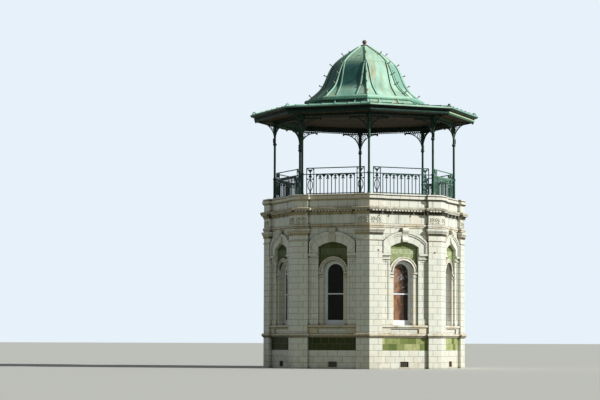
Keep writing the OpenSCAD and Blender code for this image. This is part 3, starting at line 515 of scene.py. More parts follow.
# %% Copper patina
def patina(name, brown, shade_to=-0.34, pale=(0.58, 0.82, 0.68), shade_colour=(0.006, 0.083, 0.088), flat=0.86):
    """pale is painted on the sides facing the sun and the shade colour on the others, as painted light
    and shade, for sheets steeper than flat.
    """
    material, tree = start(name, Specular_IOR_Level=0.3)
    x, y = [axis_of(tree, coordinates(tree), axis) for axis in "XY"]
    angle = calc(tree, x, y, "ARCTAN2")
    round_it = add(tree, "CombineXYZ", [("X", angle), ("Y", calc(tree, height(tree), 0.10))])
    streaks = noise(tree, 9.0, (1, 1, 1), 7.0, 0.62, round_it)
    fine = noise(tree, 34.0, (1, 1, 1), 4.0, 0.6, round_it)
    cloud = noise(tree, 1.3, detail=5.0, roughness=0.6)
    base = ramp(tree, cloud, [(0.28, (0.13, 0.33, 0.26)), (0.45, (0.24, 0.52, 0.40)),
                              (0.58, (0.36, 0.66, 0.52)), (0.78, (0.49, 0.75, 0.62))])
    steep = span(tree, facing_up(tree), flat, flat - 0.24)
    # Painted light: the sides facing the sun are drawn pale mint.
    base = stained(tree, base, pale, facing_right(tree), 0.08, 0.36, 0.5)
    base = stained(tree, base, (0.54, 0.77, 0.65), fine, 0.45, 0.70, 0.45)
    base = stained(tree, base, (0.43, 0.42, 0.24), streaks, 0.47, 0.64, brown)
    base = stained(tree, base, (0.16, 0.115, 0.07), streaks, 0.60, 0.74, brown)
    base = stained(tree, base, (0.06, 0.22, 0.18), noise(tree, 0.55, detail=4.0), 0.50, 0.68, 0.40)
    # Painted shade: steep faces turned far towards the sun are darkened a little.
    far = calc(tree, span(tree, facing_right(tree), 0.50, 0.80, 0.0, 0.80), steep)
    base = mix(tree, far, base, (0.15, 0.34, 0.28))
    # Painted shade: the sides away from the sun are drawn unevenly towards the shade colour.
    patchy = span(tree, noise(tree, 2.2, detail=5.0), 0.30, 0.66, 0.98, 0.80)
    shady = calc(tree, span(tree, facing_right(tree), -0.05, shade_to), steep)
    base = mix(tree, calc(tree, shady, patchy), base, shade_colour)
    # Painted shade, partly grime: hollows at the ribs and rolls are darkened to dark teal.
    base = corner_dirt_and_shade(tree, base, 0.09, 0.9, (0.012, 0.032, 0.028))
    rough = span(tree, cloud, 0.3, 0.7, 0.48, 0.72)
    return finished(material, base, noise(tree, 6.0, detail=5.0), 0.5, 0.008, rough)


# %% [markdown]
# ## Grit, soot and painted shadow
# Dull surfaces share one finish: a coarse noise between a dark and a light colour, with damp patches.
# Asphalt, cement, the dark bands of soot and painted shadow under ledges, and old paint differ only in
# colour and grain, so one function makes them all.

# %% Gritty finish
def gritty(name, dark, light, scale, shade_ochre=0.0):
    """The last argument sets a painted shade tint: ochre on the sides away from the sun."""
    material, tree = start(name, 0.9)
    base = ramp(tree, noise(tree, scale, detail=8.0, roughness=0.7), [(0.35, dark), (0.70, light)])
    damp = [0.55 * c for c in dark]
    base = stained(tree, base, damp, noise(tree, 0.7, detail=4.0), 0.46, 0.62, 0.5)
    # Painted shade tint: surfaces facing away from the sun are drawn towards ochre.
    base = stained(tree, base, (0.56, 0.46, 0.26), facing_right(tree), 0.05, -0.10, shade_ochre)
    return finished(material, base, noise(tree, 160.0, detail=3.0), 0.5, 0.003)


# %% [markdown]
# ## Brown boards
# The boards are stained brown, each a little lighter or darker than the next. Their grain is noise drawn
# out along the board, and it also makes the bumps, so that colour and relief agree.

# %% Board stain
def board_stain():
    material, tree = start("board_stain", 0.7, Specular_IOR_Level=0.2)
    base = ramp(tree, tone(tree), [(0.0, (0.045, 0.028, 0.013)), (1.0, (0.092, 0.060, 0.030))])
    grain = span(tree, noise(tree, 26.0, (0.06, 1, 1), 6.0), 0.40, 0.70, 0.0, 0.6)
    base = mix(tree, grain, base, (0.030, 0.018, 0.010))
    return finished(material, base, grain, 0.3, 0.002)


# %% [markdown]
# ## The other finishes
# With the recipes ready, each paint, patina and grit is made once and shared by the pieces that wear it.
# A recipe with other numbers is a different finish. The darker iron paints are copies of one recipe,
# as painted shade for the parts under the eave and the gutter's cove.

# %% Make the finishes
iron = iron_paint()
# Painted shade: a darker copy for the brackets, panels, ring beam and soffit under the eave.
shaded_iron = iron_paint("shaded_iron_paint", shade=0.45)
fascia_paint = fascia_finish()
# Painted shadow: near-black for the gutter's cove; the same dark paint also colours the iron fixings.
cove_shadow_and_fixing_paint = iron_paint("cove_shadow_and_fixing_paint", shade=0.22)
# Each copy sets its own painted light and shade: the rolls are painted only a little darker away from the
# sun, while the hips and the skirt are painted nearly black there.
copper = patina("copper_patina", brown=1.0, flat=0.78)
copper_rolls = patina("roll_patina", brown=0.35, shade_to=-1.4)
hip_copper = patina("hip_patina", 0.35, shade_to=-0.15, shade_colour=(0.008, 0.040, 0.036), flat=1.2)
skirt_copper = patina("skirt_patina", 0.9, shade_to=-0.12, pale=(0.28, 0.34, 0.26),
                      shade_colour=(0.003, 0.020, 0.022), flat=1.2)
vent_paint = gritty("vent_paint", (0.045, 0.035, 0.022), (0.13, 0.105, 0.075), 12.0)
peg_paint = gritty("peg_paint", (0.10, 0.12, 0.10), (0.45, 0.47, 0.42), 9.0)
brown_boards = board_stain()
asphalt = gritty("asphalt", (0.16, 0.155, 0.145), (0.30, 0.29, 0.27), 5.0)
cement = gritty("cement", (0.28, 0.265, 0.24), (0.42, 0.40, 0.37), 3.0)
# Painted shadow, partly soot: near-black bands under projecting edges, ochre away from the sun.
soot_and_shadow_glaze = gritty("soot_and_shadow_glaze", (0.020, 0.017, 0.011), (0.105, 0.088, 0.058), 6.0, shade_ochre=0.72)
lichen_glaze = gritty("lichen_glaze", (0.33, 0.31, 0.22), (0.80, 0.79, 0.68), 4.0, shade_ochre=0.35)
finial_brown = gritty("finial_paint", (0.15, 0.09, 0.055), (0.36, 0.27, 0.19), 7.0)
print(len(bpy.data.materials), "materials")

# %% [markdown]
# ## Working side by side
# Everything repeats round eight sides, so each side has a direction out of it and one along it. One side
# could be made and copied round, but then every block would have seven twins. So each solid is worked on
# whole. It comes as loose triangles, and merging its doubles and dissolving flat triangles leaves large
# faces to cut.

# %% Sides and copies
SIDES = 8
STEP = 2 * math.pi / SIDES
UP = Vector((0, 0, 1))
WINDOW_SIDES = {0: "front_right", 1: "right", 2: "rear_right", 5: "rear_left", 6: "left", 7: "front_left"}


def turn(k):
    return Matrix.Rotation(STEP * (k + 0.5), 3, "Z")


def outward(k):
    return turn(k) @ Vector((0, -1, 0))


def along(k):
    return turn(k) @ Vector((1, 0, 0))


def side_of(point):
    return int((math.atan2(point.x, -point.y) % (2 * math.pi)) / STEP) % SIDES


def centre(face):
    return face.calc_center_median()


def place_of(face):
    """A key that sorts faces the same way in every run."""
    return tuple(round(c, 4) for c in centre(face))


def chosen(bm, wanted):
    """The wanted faces, in the same order in every run."""
    return sorted((f for f in bm.faces if wanted(f)), key=place_of)


def copy_of(node):
    """A merged copy of a solid's mesh, with room for a tone on each face."""
    bm = bmesh.new()
    bm.from_mesh(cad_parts[node].data)
    bm.faces.layers.float.new("tone")
    bmesh.ops.remove_doubles(bm, verts=bm.verts, dist=0.0003)
    bmesh.ops.dissolve_limit(bm, angle_limit=math.radians(0.5), verts=bm.verts, edges=bm.edges)
    for face in bm.faces:
        face.smooth = False
        face.material_index = 0
    bm.normal_update()
    return bm


# %% [markdown]
# ## Handing over a piece
# A finished bmesh becomes an object that rides on the building's one body, wears its materials and
# hides any solid that it replaces. It could be done piece by piece, but one helper forgets none of it,
# and prints what it made.

# %% Finish a piece
made_pieces = {}


def finish_piece(name, bm, materials, replaces=(), smooth=None):
    """The bmesh becomes a piece of the object, riding on its one body."""
    mesh = bpy.data.meshes.new(name)
    if smooth is not None:
        for face in bm.faces:
            face.smooth = True
    bm.to_mesh(mesh)
    bm.free()
    old_normals = mesh.attributes.get("custom_normal")
    if old_normals:
        mesh.attributes.remove(old_normals)
    for material in materials:
        mesh.materials.append(material)
    if smooth is not None:
        mesh.set_sharp_from_angle(angle=math.radians(smooth))
    piece = bpy.data.objects.new(name, mesh)
    scene.collection.objects.link(piece)
    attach(piece, "root")
    if replaces:
        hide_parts(*replaces)
    made_pieces[name] = sum(len(p.vertices) - 2 for p in mesh.polygons)
    print(name, made_pieces[name], "triangles")
    return piece


# %% [markdown]
# ## Cutting joints
# Blocks, tiles, boards and roof sheets are one idea: a surface crossed by narrow strips. Two parallel
# cuts with bisect_plane leave a strip between them. A bump in the material could draw the joints, but it
# wouldn't show along the edges or in raking light. Corners stay whole, so a block can turn round one as a
# real quoin does.

# %% Cut strips
def cut(bm, faces, point, across):
    """Cuts these faces by a plane, and returns them with the new ones."""
    geometry = list(dict.fromkeys([v for f in faces for v in f.verts] + [e for f in faces for e in f.edges]
                                  + list(faces)))
    made = bmesh.ops.bisect_plane(bm, geom=geometry, dist=1e-5, plane_co=point, plane_no=across)
    return [g for g in made["geom"] if isinstance(g, bmesh.types.BMFace)]


def strip(bm, faces, point, across, width):
    """Two cuts. Returns the faces outside the strip and those in it."""
    across = Vector(across).normalized()
    point = Vector(point)
    for shift in (-width / 2, width / 2):
        faces = cut(bm, faces, point + across * shift, across)
    inside = [f for f in faces if abs((centre(f) - point).dot(across)) < width / 2]
    found = set(inside)
    return [f for f in faces if f not in found], inside


def strips(bm, faces, points, across, width):
    """A strip at each point. Returns the faces outside them and those in them."""
    found = []
    for point in points:
        faces, inside = strip(bm, faces, point, across, width)
        found += inside
    return faces, found


def level(z):
    return Vector((0, 0, z))


# %% [markdown]
# ## Sinking and raising
# A strip becomes a joint, with dark mortar at the bottom, when its faces move in and walls close its rim.
# Moved out, it becomes the raised seam of sheet metal. Extruding the whole region does both at once, and
# where faces meet at a corner their normals are added up, so that the depth stays even.

# %% Sink a region
def sink(bm, faces, depth, index=1):
    """Moves a region of faces in by depth, or out where depth is negative, with walls at its rim."""
    shifts = {}
    for face in faces:
        for v in face.verts:
            normals = shifts.setdefault(tuple(round(c, 4) for c in v.co), [])
            if all(face.normal.dot(n) < 0.999 for n in normals):
                normals.append(face.normal.copy())
    made = bmesh.ops.extrude_face_region(bm, geom=faces)
    moved = [g for g in made["geom"] if isinstance(g, bmesh.types.BMVert)]
    bmesh.ops.delete(bm, geom=[f for f in faces if f.is_valid], context="FACES")
    for v in moved:
        normals = shifts[tuple(round(c, 4) for c in v.co)]
        total = sum(normals, Vector())
        v.co -= total * (depth * len(normals) / max(total.length_squared, 0.2))
        for face in v.link_faces:
            face.material_index = index
    bm.normal_update()


# %% [markdown]
# ## A tone for each block
# Real blocks and tiles differ from one another. Noise would change in the middle of a block, so each gets
# one number instead: faces that are still joined after the cuts are one block, and a walk from face to
# face finds them. The seed is fixed, so every run gives the same wall.

# %% Tones
def give_tones(bm, faces, seed):
    """One random tone for each group of joined faces, which is a block, a tile or a board."""
    layer = bm.faces.layers.float["tone"]
    chance = random.Random(seed)
    left = set(faces)
    groups = 0
    for first in sorted(faces, key=place_of):
        if first not in left:
            continue
        value = chance.random()
        groups += 1
        left.discard(first)
        waiting = [first]
        while waiting:
            face = waiting.pop()
            face[layer] = value
            near = [f for e in face.edges for f in e.link_faces if f in left]
            left.difference_update(near)
            waiting.extend(near)
    return groups


# %% [markdown]
# ## Breaking joint
# In a sound wall no upright joint stands over another. Each course is divided evenly, and every second
# one is shifted by half a block.

# %% Places of joints
def even_joints(low, high, pitch, odd):
    """Places of the joints in one course: whole blocks, or a half block at each end."""
    count = max(1, round((high - low) / pitch))
    size = (high - low) / count
    if odd:
        return [low + (i + 0.5) * size for i in range(count)]
    return [low + i * size for i in range(1, count)]


# %% [markdown]
# ## The courses
# The levels come from the solids: the tiled apron starts on a joint, and twenty courses reach from it to
# the top of the walls. Bays are divided evenly, and long and short blocks take turns at each corner.

# %% Levels and sizes
apron_low, apron_high = (p.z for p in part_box("apron_tiles"))
wall_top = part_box("corner_piers")[1].z
COURSES = 20
course_h = (wall_top - apron_low) / COURSES
wall_levels = [apron_low + i * course_h for i in range(-2, COURSES)]
corner_r = -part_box("corner_piers")[0].y
wall_a = corner_r * math.cos(STEP / 2)
side_half = corner_r * math.sin(STEP / 2)
PIER_W = 0.59
bay_half = side_half - PIER_W
JOINT = 0.012
JOINT_DEPTH = 0.006
BLOCK_LENGTH = 0.40
CORNER_BLOCKS = (0.4, 0.2)
print("course", round(course_h, 4), "bay", round(2 * bay_half, 3), "side", round(2 * side_half, 3))


# %% [markdown]
# ## Laying blocks
# The cuts could be made by hand for each wall, but the rule is the same everywhere: level joints first,
# then upright ones course by course, and none in the narrow faces of a step, where a real block simply
# turns the corner.

# %% Lay courses
def looks_out(face):
    """A face that doesn't look into the room."""
    return face.normal.dot(outward(side_of(centre(face)))) > -0.3


def upright(face):
    return abs(face.normal.z) < 0.05 and looks_out(face)


def lay(bm, faces, levels, pitch, joint, corner_blocks=CORNER_BLOCKS):
    """Cuts courses and upright joints into these faces. Returns the faces of blocks and of joints."""
    faces, joints = strips(bm, faces, map(level, levels), UP, joint)
    groups = {}
    for face in sorted(faces, key=place_of):
        c = centre(face)
        k = side_of(c)
        course = bisect_left(levels, c.z) % 2
        across = abs(face.normal.dot(along(k))) > 0.7
        u = c.dot(along(k))
        part = 0 if abs(u) < bay_half else math.copysign(1, u)
        groups.setdefault((k, across, part, course), []).append(face)
    blocks = []
    for (k, across, part, course), group in groups.items():
        if across:
            blocks += group
            continue
        if part:
            places = [part * (side_half - corner_blocks[course])]
        else:
            places = even_joints(-bay_half, bay_half, pitch, course)
        group, inside = strips(bm, group, [along(k) * u for u in places], along(k), joint)
        joints += inside
        blocks += group
    return blocks, joints


# %% [markdown]
# ## Walls and piers
# Each wall and the piers are now one call: a copy is cut, toned and sunk. Bands let one piece wear a
# second finish, such as a dark band of soot and painted shadow, between two heights.

# %% Walls and piers
def block_piece(node, levels, pitch, material, seed, wanted=upright, corner_blocks=CORNER_BLOCKS,
                bands=()):
    """A solid's copy with its joints cut. A band is a low and a high place over its foot, and a finish."""
    bm = copy_of(node)
    blocks, joints = lay(bm, chosen(bm, wanted), levels, pitch, JOINT, corner_blocks)
    groups = give_tones(bm, blocks, seed)
    sink(bm, joints, JOINT_DEPTH)
    materials = [material, mortar] + [own for low, high, own in bands]
    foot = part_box(node)[0].z
    for index, (low, high, own) in enumerate(bands, 2):
        for face in bm.faces:
            if face.material_index == 0 and low < centre(face).z - foot < high:
                face.material_index = index
    finish_piece(node + "_blocks", bm, materials, [node])
    print(node, groups, "blocks")


block_piece("corner_piers", wall_levels, BLOCK_LENGTH, block, 11)
for k, name in WINDOW_SIDES.items():
    block_piece("wall_" + name, wall_levels, BLOCK_LENGTH, block, 20 + k)
for k, name in {3: "back_right", 4: "back_left"}.items():
    block_piece("party_wall_" + name, wall_levels, BLOCK_LENGTH, party_block, 20 + k)

# %% [markdown]
# ## Mouldings and entablature
# A moulding is one profile run round the building in lengths of about half a metre. The same cuts work on
# it, because a strip follows the profile. Only the joint between the ochre architrave and the pale frieze
# is level.

# %% Mouldings
frieze_low, frieze_high = (p.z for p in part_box("frieze"))
architrave_h = 0.29 * (frieze_high - frieze_low)
MOULDING_LENGTH = 0.54
SILL_LENGTH = 0.72
PARAPET_LENGTH = 0.42

block_piece("frieze", [frieze_low + architrave_h], MOULDING_LENGTH, block, 31, looks_out,
            (0.45, 0.35), [(-1, architrave_h, string_glaze)])
block_piece("string_course", [], MOULDING_LENGTH, string_glaze, 32, looks_out)
block_piece("window_sills", [], SILL_LENGTH, string_glaze, 33, looks_out)
# The near-black bands on the capitals, cornice and coping are painted shadow, partly soot, under each
# projecting edge.
block_piece("pier_capitals", [], MOULDING_LENGTH, capital_glaze, 34, looks_out, (0.3, 0.3),
            [(0.25, 0.30, soot_and_shadow_glaze)])
# Painted shade: the dark band behind the cornice's teeth stands for the shade between them.
block_piece("cornice", [], MOULDING_LENGTH, cornice_glaze, 35, looks_out, (0.35, 0.35),
            [(0, 0.115, soot_and_shadow_glaze), (0.135, 0.170, vent_paint), (0.18, 0.4, lichen_glaze)])
block_piece("parapet", [], PARAPET_LENGTH, block, 36, looks_out, (0.42, 0.42))
block_piece("coping", [], PARAPET_LENGTH, coping_glaze, 37, looks_out, (0.30, 0.30),
            [(0, 0.045, soot_and_shadow_glaze), (0.16, 0.195, soot_and_shadow_glaze)])

# %% [markdown]
# ## Arches and hoods
# The stones of an arch point to its centre. Boolean cuts could part them, but they are slow and leave
# slivers. Here the arch is first cut at its springing and down its middle, so that a plane through the
# centre crosses one quarter and not the others.

# %% Voussoirs
ARCH_SPRING = 4.01
ARCH_STONES = 9
HOOD_CENTRE = 4.10
HOOD_ANGLES = (20, 33, 46)


def voussoirs(bm, faces, centre_z, angles, joint):
    """Cuts radial joints through the faces above centre_z. angles are in degrees from the crown."""
    blocks, joints = [], []
    for k in WINDOW_SIDES:
        middle = level(centre_z)
        group = [f for f in faces if side_of(centre(f)) == k]
        group = cut(bm, group, middle, UP)
        group = cut(bm, group, middle, along(k))
        for hand in (-1, 1):
            part = [f for f in group if centre(f).z > centre_z and centre(f).dot(along(k)) * hand > 0]
            for angle in map(math.radians, angles):
                across = along(k) * hand * math.cos(angle) - level(math.sin(angle))
                part, inside = strip(bm, part, middle, across, joint)
                joints += inside
            blocks += part
        blocks += [f for f in group if f.is_valid and centre(f).z <= centre_z]
    return blocks, joints


def arch_piece(node, centre_z, angles, levels, material, seed, joint):
    bm = copy_of(node)
    blocks, joints = voussoirs(bm, chosen(bm, looks_out), centre_z, angles, joint)
    blocks = sorted((f for f in blocks if f.is_valid), key=place_of)
    blocks, inside = strips(bm, blocks, map(level, levels), UP, joint)
    give_tones(bm, blocks, seed)
    sink(bm, joints + inside, JOINT_DEPTH)
    finish_piece(node + "_stones", bm, [material, mortar], [node])


arch_angles = [10 + 20 * i for i in range(ARCH_STONES // 2)]
arch_levels = [z for z in wall_levels if z < ARCH_SPRING - 0.25]
arch_piece("window_arches", ARCH_SPRING, arch_angles, arch_levels, arch_glaze, 41, 0.006)
arch_piece("window_hoods", HOOD_CENTRE, HOOD_ANGLES, [], block, 42, 0.009)

# %% [markdown]
# ## Tiles
# The green tiles are thin and set with fine joints. Two rows make the apron under a window, and tall
# tiles with a darker border fill the head over its arch. They could be laid tile by tile, but the strips
# that part the blocks part them too, and only the places differ.

# %% Tiles
TILE_JOINT = 0.009
TILE_DEPTH = 0.004
APRON_TILE = 0.357
TALL_TILE = 0.38
ROW_LOW, ROW_HIGH, BORDER_U = 4.76, 4.99, 0.56


def lay_tympanum(bm, faces):
    """Three large tiles in a row, with a border of darker ones over them and at both ends."""
    tiles, joints = [], []
    for k in WINDOW_SIDES:
        way = along(k)
        group = [f for f in faces if side_of(centre(f)) == k]
        group, rows = strips(bm, group, [level(ROW_LOW), level(ROW_HIGH)], UP, TILE_JOINT)
        group, ends = strips(bm, group, [-BORDER_U * way, BORDER_U * way], way, TILE_JOINT)
        low = [f for f in group if centre(f).z < ROW_LOW]
        high = [f for f in group if centre(f).z > ROW_LOW]
        high, upper = strips(bm, high, [i * TALL_TILE * way for i in (-0.5, 0.5)], way, TILE_JOINT)
        low, lower = strips(bm, low, [i * TALL_TILE * way for i in (-1, 0, 1)], way, TILE_JOINT)
        joints += rows + ends + upper + lower
        tiles += low + high
    return tiles, joints


def set_rows(bm, tiles):
    """The large tiles are the palest and the border the darkest."""
    layer = bm.faces.layers.float["tone"]
    for face in tiles:
        c = centre(face)
        if c.z > ROW_HIGH or abs(c.dot(along(side_of(c)))) > BORDER_U:
            face[layer] = 0.25 * face[layer]
        elif c.z > ROW_LOW:
            face[layer] = 0.75 + 0.25 * face[layer]
        else:
            face[layer] = 0.35 + 0.35 * face[layer]


for node, seed in (("apron_tiles", 51), ("tympanum_tiles", 52)):
    bm = copy_of(node)
    faces = chosen(bm, upright)
    if node == "apron_tiles":
        tiles, joints = lay(bm, faces, [(apron_low + apron_high) / 2], APRON_TILE, TILE_JOINT)
    else:
        tiles, joints = lay_tympanum(bm, faces)
    count = give_tones(bm, tiles, seed)
    if node == "tympanum_tiles":
        set_rows(bm, tiles)
    sink(bm, joints, TILE_DEPTH)
    finish_piece(node + "_laid", bm, [green_glaze, mortar], [node])
    print(node, count, "tiles")

# %% [markdown]
# ## Windows
# Every edge of real joinery is eased, and a keystone's is rounder still. The edges could be bevelled in the
# mesh, but a Bevel modifier limited by angle finds them by itself. The glass is told how far along its
# side and how high each point lies, and its material paints the dim room and a reflection with that.

# %% Rounded copies
def rounded_piece(node, material, width, segments=2):
    """A copy whose sharp edges are rounded."""
    piece = finish_piece(node + "_rounded", copy_of(node), [material], [node], 35)
    edge = piece.modifiers.new("rounded edges", "BEVEL")
    edge.width = width
    edge.segments = segments
    edge.limit_method = "ANGLE"
    edge.angle_limit = math.radians(40)
    return piece


rounded_piece("window_frames", white_paint, 0.004)
rounded_piece("keystones", keystone_glaze, 0.012)
panes = copy_of("window_glass")
across_and_up = panes.loops.layers.uv.new("window")
for face in panes.faces:
    for corner in face.loops:
        corner[across_and_up].uv = (corner.vert.co.dot(along(side_of(centre(face)))), corner.vert.co.z)
finish_piece("window_panes", panes, [glass], ["window_glass"])

# %% [markdown]
# ## The iron frame
# Brackets, panels and railings are castings of flat bars. They could be modelled anew, but the solids
# already have every bar, so they only get rounded edges and the paint. The columns are round already, so
# they, the vents and the floors only change material.

# %% Iron pieces
for name in WINDOW_SIDES.values():
    rounded_piece("railing_" + name, iron, 0.004, 1)
# The parts under the eave wear the darker iron paint, as painted shade.
for name in ("arch_brackets", "eave_brackets", "fret_panels"):
    rounded_piece(name, shaded_iron, 0.004, 1)
rounded_piece("ring_beam", shaded_iron, 0.008)

for node, material in (("columns", iron), ("air_vents", vent_paint), ("ground_floor", cement),
                       ("roof_deck", asphalt)):
    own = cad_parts[node].data.materials
    own.clear()
    own.append(material)

# %% [markdown]
# ## Boards
# The ceiling's narrow boards all run one way, and the soffit's run out from the beam to the gutter.
# Separate boards would be hundreds of boxes, so the same strips are cut a little deeper, as open shadow
# lines.

# %% Ceiling and soffit
BOARD = 0.14
BOARD_JOINT = 0.006
BOARD_DEPTH = 0.008


def boarded(node, wanted, directions, rest_material, seed):
    """Cuts boards into the wanted faces. directions gives the way across the boards for a side."""
    bm = copy_of(node)
    groups = {}
    for face in chosen(bm, wanted):
        groups.setdefault(tuple(directions(side_of(centre(face)))), []).append(face)
    boards, joints = [], []
    for across, group in groups.items():
        across = Vector(across)
        reach = [v.co.dot(across) for f in group for v in f.verts]
        width = max(reach) - min(reach)
        count = int(width / BOARD)
        places = [across * (min(reach) + i * width / (count + 1)) for i in range(1, count + 1)]
        group, inside = strips(bm, group, places, across, BOARD_JOINT)
        joints += inside
        boards += group
    give_tones(bm, boards, seed)
    for face in bm.faces:
        face.material_index = 1
    for face in boards:
        face.material_index = 0
    sink(bm, joints, BOARD_DEPTH, 0)
    finish_piece(node + "_boarded", bm, [brown_boards, rest_material], [node])


def looks_down(face):
    return face.normal.z < -0.9


soffit_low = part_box("soffit")[0].z
boarded("ceiling", looks_down, lambda k: (0, 1, 0), brown_boards, 61)
# The soffit's other faces wear the darker iron paint, as painted shade.
boarded("soffit", lambda f: looks_down(f) and centre(f).z > soffit_low + 0.03, along,
        shaded_iron, 62)

# %% [markdown]
# ## Copper
# Where two copper sheets meet, their edges are folded together into a raised seam. The seams could be
# bars laid on the roof, but a strip raised out of the sheet follows its slope by itself. They run up the
# slope on the canopy and the skirt, and level round the dome.

# %% Sheets and seams
def sheeted(node, materials, wanted, rise, width, level_seams=(), slope_seams=()):
    """materials are the sheets' own and the seams'."""
    bm = copy_of(node)
    faces, seams = strips(bm, chosen(bm, wanted), map(level, level_seams), UP, width)
    for k in range(SIDES):
        group = [f for f in faces if side_of(centre(f)) == k]
        seams += strips(bm, group, [along(k) * u for u in slope_seams], along(k), width)[1]
    sink(bm, seams, -rise)
    finish_piece(node + "_sheets", bm, materials, [node], 25)


def looks_up(face):
    return face.normal.z > 0.1


def skin(face):
    return looks_out(face) and abs(face.normal.dot(along(side_of(centre(face))))) < 0.5


CANOPY_SHEET = 0.58
DOME_SEAM = 13.17
FASCIA_HIGH, COVE_HIGH = 0.09, 0.18
sheeted("dome_shell", [copper, copper], skin, 0.006, 0.024, level_seams=[DOME_SEAM])
sheeted("canopy_roof", [copper_rolls, copper_rolls], looks_up, 0.045, 0.05,
        slope_seams=[(i - 2.5) * CANOPY_SHEET for i in range(6)])
sheeted("skirt", [skirt_copper, copper_rolls], looks_up, 0.03, 0.04, slope_seams=[-0.45, 0.45])
rounded_piece("dome_ribs", copper_rolls, 0.012)
gutter = rounded_piece("eave_gutter", copper_rolls, 0.010)
# The cove is painted near-black as shadow; the fascia carries its own painted shadow and sunlit edge.
for material in (cove_shadow_and_fixing_paint, fascia_paint):
    gutter.data.materials.append(material)
for face in gutter.data.polygons:
    above = face.center.z - FASCIA_LOW
    face.material_index = 2 if above < FASCIA_HIGH else 1 if above < COVE_HIGH else 0
for name, material in (("canopy_hips", hip_copper), ("dome_roll", copper_rolls),
                       ("hip_rolls", copper_rolls), ("finial", finial_brown)):
    finish_piece(name + "_dressed", copy_of(name), [material], [name], 40)

# %% [markdown]
# ## Carved foliage and fixings
# The end blocks of the frieze carry a carved scroll of leaves, and two round iron fixings are let into
# the piers beside one window. A displaced plane would give only a blurred relief, so a scroll is a round
# bar bent into a spiral, and each leaf is a ball pressed flat.

# %% Carving
def bar_through(bm, points, radii, sides=6):
    """A closed round bar through points in the side's own frame, with a radius at each one."""
    rings = []
    last = len(points) - 1
    for i, point in enumerate(points):
        way = (points[min(i + 1, last)] - points[max(i - 1, 0)]).normalized()
        side = way.cross(Vector((0, 1, 0))).normalized()
        ring = []
        for j in range(sides):
            angle = 2 * math.pi * j / sides
            reach = side * math.cos(angle) - Vector((0, math.sin(angle), 0))
            ring.append(bm.verts.new(point + radii[i] * reach))
        rings.append(ring)
    for low, high in zip(rings, rings[1:]):
        for j in range(sides):
            bm.faces.new((low[j], low[j - 1], high[j - 1], high[j]))
    bm.faces.new(rings[0])
    bm.faces.new(rings[-1][::-1])


def pressed_ball(bm, place, size, angle=0.0):
    made = bmesh.ops.create_icosphere(bm, subdivisions=2, radius=1)
    shape = Matrix.Translation(place) @ Matrix.Rotation(angle, 4, "Y") @ Matrix.Diagonal((*size, 1))
    bmesh.ops.transform(bm, matrix=shape, verts=made["verts"])


def foliage(hand):
    """One spiral with its leaves, on the right where hand is 1 and on the left where it is -1."""
    bm = bmesh.new()
    points, radii = [], []
    for i in range(22):
        share = i / 21
        angle = math.radians(200 - 500 * share)
        reach = 0.085 - 0.065 * share
        points.append(Vector((hand * (0.115 + reach * math.cos(angle)), 0, reach * math.sin(angle))))
        radii.append(0.017 - 0.006 * share)
    bar_through(bm, points, radii)
    for x, z, long, wide, lean in ((0.03, 0.075, 0.055, 0.022, 40), (0.10, 0.105, 0.05, 0.02, 0),
                                   (0.185, 0.08, 0.05, 0.02, -50), (0.215, 0.0, 0.045, 0.02, -90),
                                   (0.18, -0.085, 0.05, 0.02, 50), (0.08, -0.10, 0.05, 0.02, 0)):
        pressed_ball(bm, (hand * x, 0, z), (long, 0.018, wide), hand * math.radians(lean))
    return bm


# %% [markdown]
# ## Where the carving goes
# Each end block of a frieze gets a scroll and its mirror image, all joined into one piece.

# %% Place the carving and the fixings
CARVING_U = side_half - 0.30
CARVING_Z = 6.17
FIXINGS = ((-1.257, 4.904), (1.354, 4.833))


def add_copies(target, one, matrices):
    """Copies of a small bmesh, each in its own place, joined to the target."""
    loose = bpy.data.meshes.new("loose")
    for matrix in matrices:
        placed = one.copy()
        bmesh.ops.transform(placed, matrix=matrix, verts=placed.verts)
        placed.to_mesh(loose)
        placed.free()
        target.from_mesh(loose)
    bpy.data.meshes.remove(loose)
    one.free()


def on_side(k, u, z, out=0.0):
    """A place on side k, u along it, z high, and out in front of the wall."""
    return turn(k).to_4x4() @ Matrix.Translation((u, -wall_a - out, z))


carved = bmesh.new()
for hand in (-1, 1):
    add_copies(carved, foliage(hand), [on_side(k, u, CARVING_Z, 0.004) for k in WINDOW_SIDES
                                       for u in (-CARVING_U, CARVING_U)])
bmesh.ops.recalc_face_normals(carved, faces=carved.faces)
finish_piece("frieze_foliage", carved, [relief_glaze], smooth=60)

fixings = bmesh.new()
for u, z in FIXINGS:
    where = on_side(0, u, z) @ Matrix.Rotation(math.pi / 2, 4, "X")
    bmesh.ops.create_cone(fixings, cap_ends=True, segments=20, radius1=0.038, radius2=0.034, depth=0.02,
                          matrix=where)
finish_piece("pier_fixings", fixings, [cove_shadow_and_fixing_paint], smooth=40)

# %% [markdown]
# ## Teeth and lamp pegs
# A row of small teeth runs under the edge of the cornice, and little lamp pegs hang there and stand along
# the hips of the dome. Their places could be worked out from the profiles, but a ray sent in towards the
# building finds the surface without knowing them.

# %% Teeth and pegs
TOOTH_PITCH = 0.14
TOOTH = (0.095, 0.028, 0.050)
TEETH_HALF = 11
PEGS = 5
PEG_FIRST, PEG_PITCH = -1.12, 0.50
HIP_PEG_FIRST, HIP_PEG_PITCH = 0.17, 0.46
LOST_PEG = (0, 2)
RAY_START = 8


def tree_of(node):
    """A solid's faces, sorted so that rays can be sent at them."""
    bm = copy_of(node)
    tree = BVHTree.FromBMesh(bm)
    bm.free()
    return tree


def surface_at(tree, side_turn, u, z):
    """Where a ray that comes in level meets the surface, and the way that the surface looks."""
    inwards = side_turn @ Vector((0, 1, 0))
    place, normal, _, _ = tree.ray_cast(side_turn @ Vector((u, -RAY_START, z)), inwards)
    return (place, normal) if normal and normal.dot(inwards) < -0.5 else (None, None)


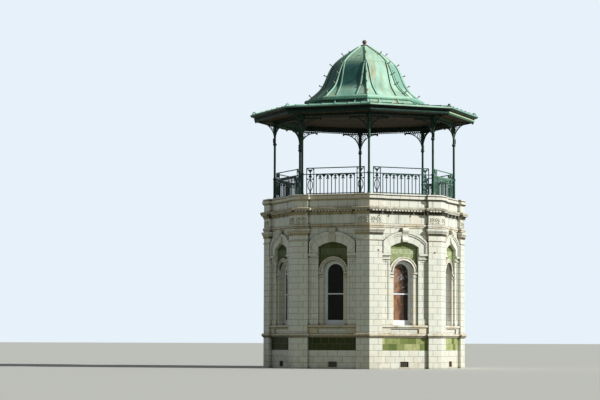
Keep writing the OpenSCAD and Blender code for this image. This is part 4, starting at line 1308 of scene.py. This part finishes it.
cornice_tree = tree_of("cornice")
tooth_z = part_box("cornice")[0].z + 0.150
tooth = bmesh.new()
bmesh.ops.create_cube(tooth, size=1, matrix=Matrix.Diagonal((*TOOTH, 1)))
bmesh.ops.bevel(tooth, geom=tooth.edges[:], offset=0.006, affect="EDGES", segments=1, profile=0.5,
                material=-1)
places, hangings = [], []
for k in range(SIDES):
    for i in range(-TEETH_HALF, TEETH_HALF + 1):
        u = i * TOOTH_PITCH
        ends = [surface_at(cornice_tree, turn(k), u + s * TOOTH[0] / 2, tooth_z)[0] for s in (-1, 1)]
        if all(ends) and abs((ends[0] - ends[1]).dot(outward(k))) < 0.01:
            places.append(Matrix.Translation((ends[0] + ends[1]) / 2) @ turn(k).to_4x4())
    for i in range(PEGS):
        spot, _ = surface_at(cornice_tree, turn(k), PEG_FIRST + i * PEG_PITCH, tooth_z)
        if spot and (k, i) != LOST_PEG:
            hangings.append(Matrix.Translation(spot - 0.022 * outward(k) - level(0.065)))
teeth = bmesh.new()
teeth.faces.layers.float.new("tone")
add_copies(teeth, tooth, places)
give_tones(teeth, teeth.faces, 71)
finish_piece("cornice_teeth", teeth, [tooth_glaze])

peg = bmesh.new()
bmesh.ops.create_cone(peg, cap_ends=True, segments=8, radius1=0.018, radius2=0.022, depth=0.10)
bmesh.ops.create_icosphere(peg, subdivisions=2, radius=0.034, matrix=Matrix.Translation((0, 0, -0.070)))
hip_tree = tree_of("hip_rolls")
hip_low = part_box("hip_rolls")[0].z
for k in range(SIDES):
    corner_turn = Matrix.Rotation(STEP * k, 3, "Z")
    for i in range(PEGS):
        spot, normal = surface_at(hip_tree, corner_turn, 0, hip_low + HIP_PEG_FIRST + HIP_PEG_PITCH * i)
        if spot:
            away = (corner_turn @ Vector((0, -math.hypot(normal.x, normal.y), normal.z))).normalized()
            leaning = (-away).to_track_quat("Z", "Y").to_matrix().to_4x4()
            hangings.append(Matrix.Translation(spot + 0.04 * away) @ leaning)
pegs = bmesh.new()
add_copies(pegs, peg, hangings)
finish_piece("lamp_pegs", pegs, [peg_paint], smooth=50)
print(len(places), "teeth,", len(hangings), "pegs")

# %% [markdown]
# ## Finish
# The pieces made and their triangles are counted and printed.

print(len(made_pieces), "pieces,", sum(made_pieces.values()), "triangles")
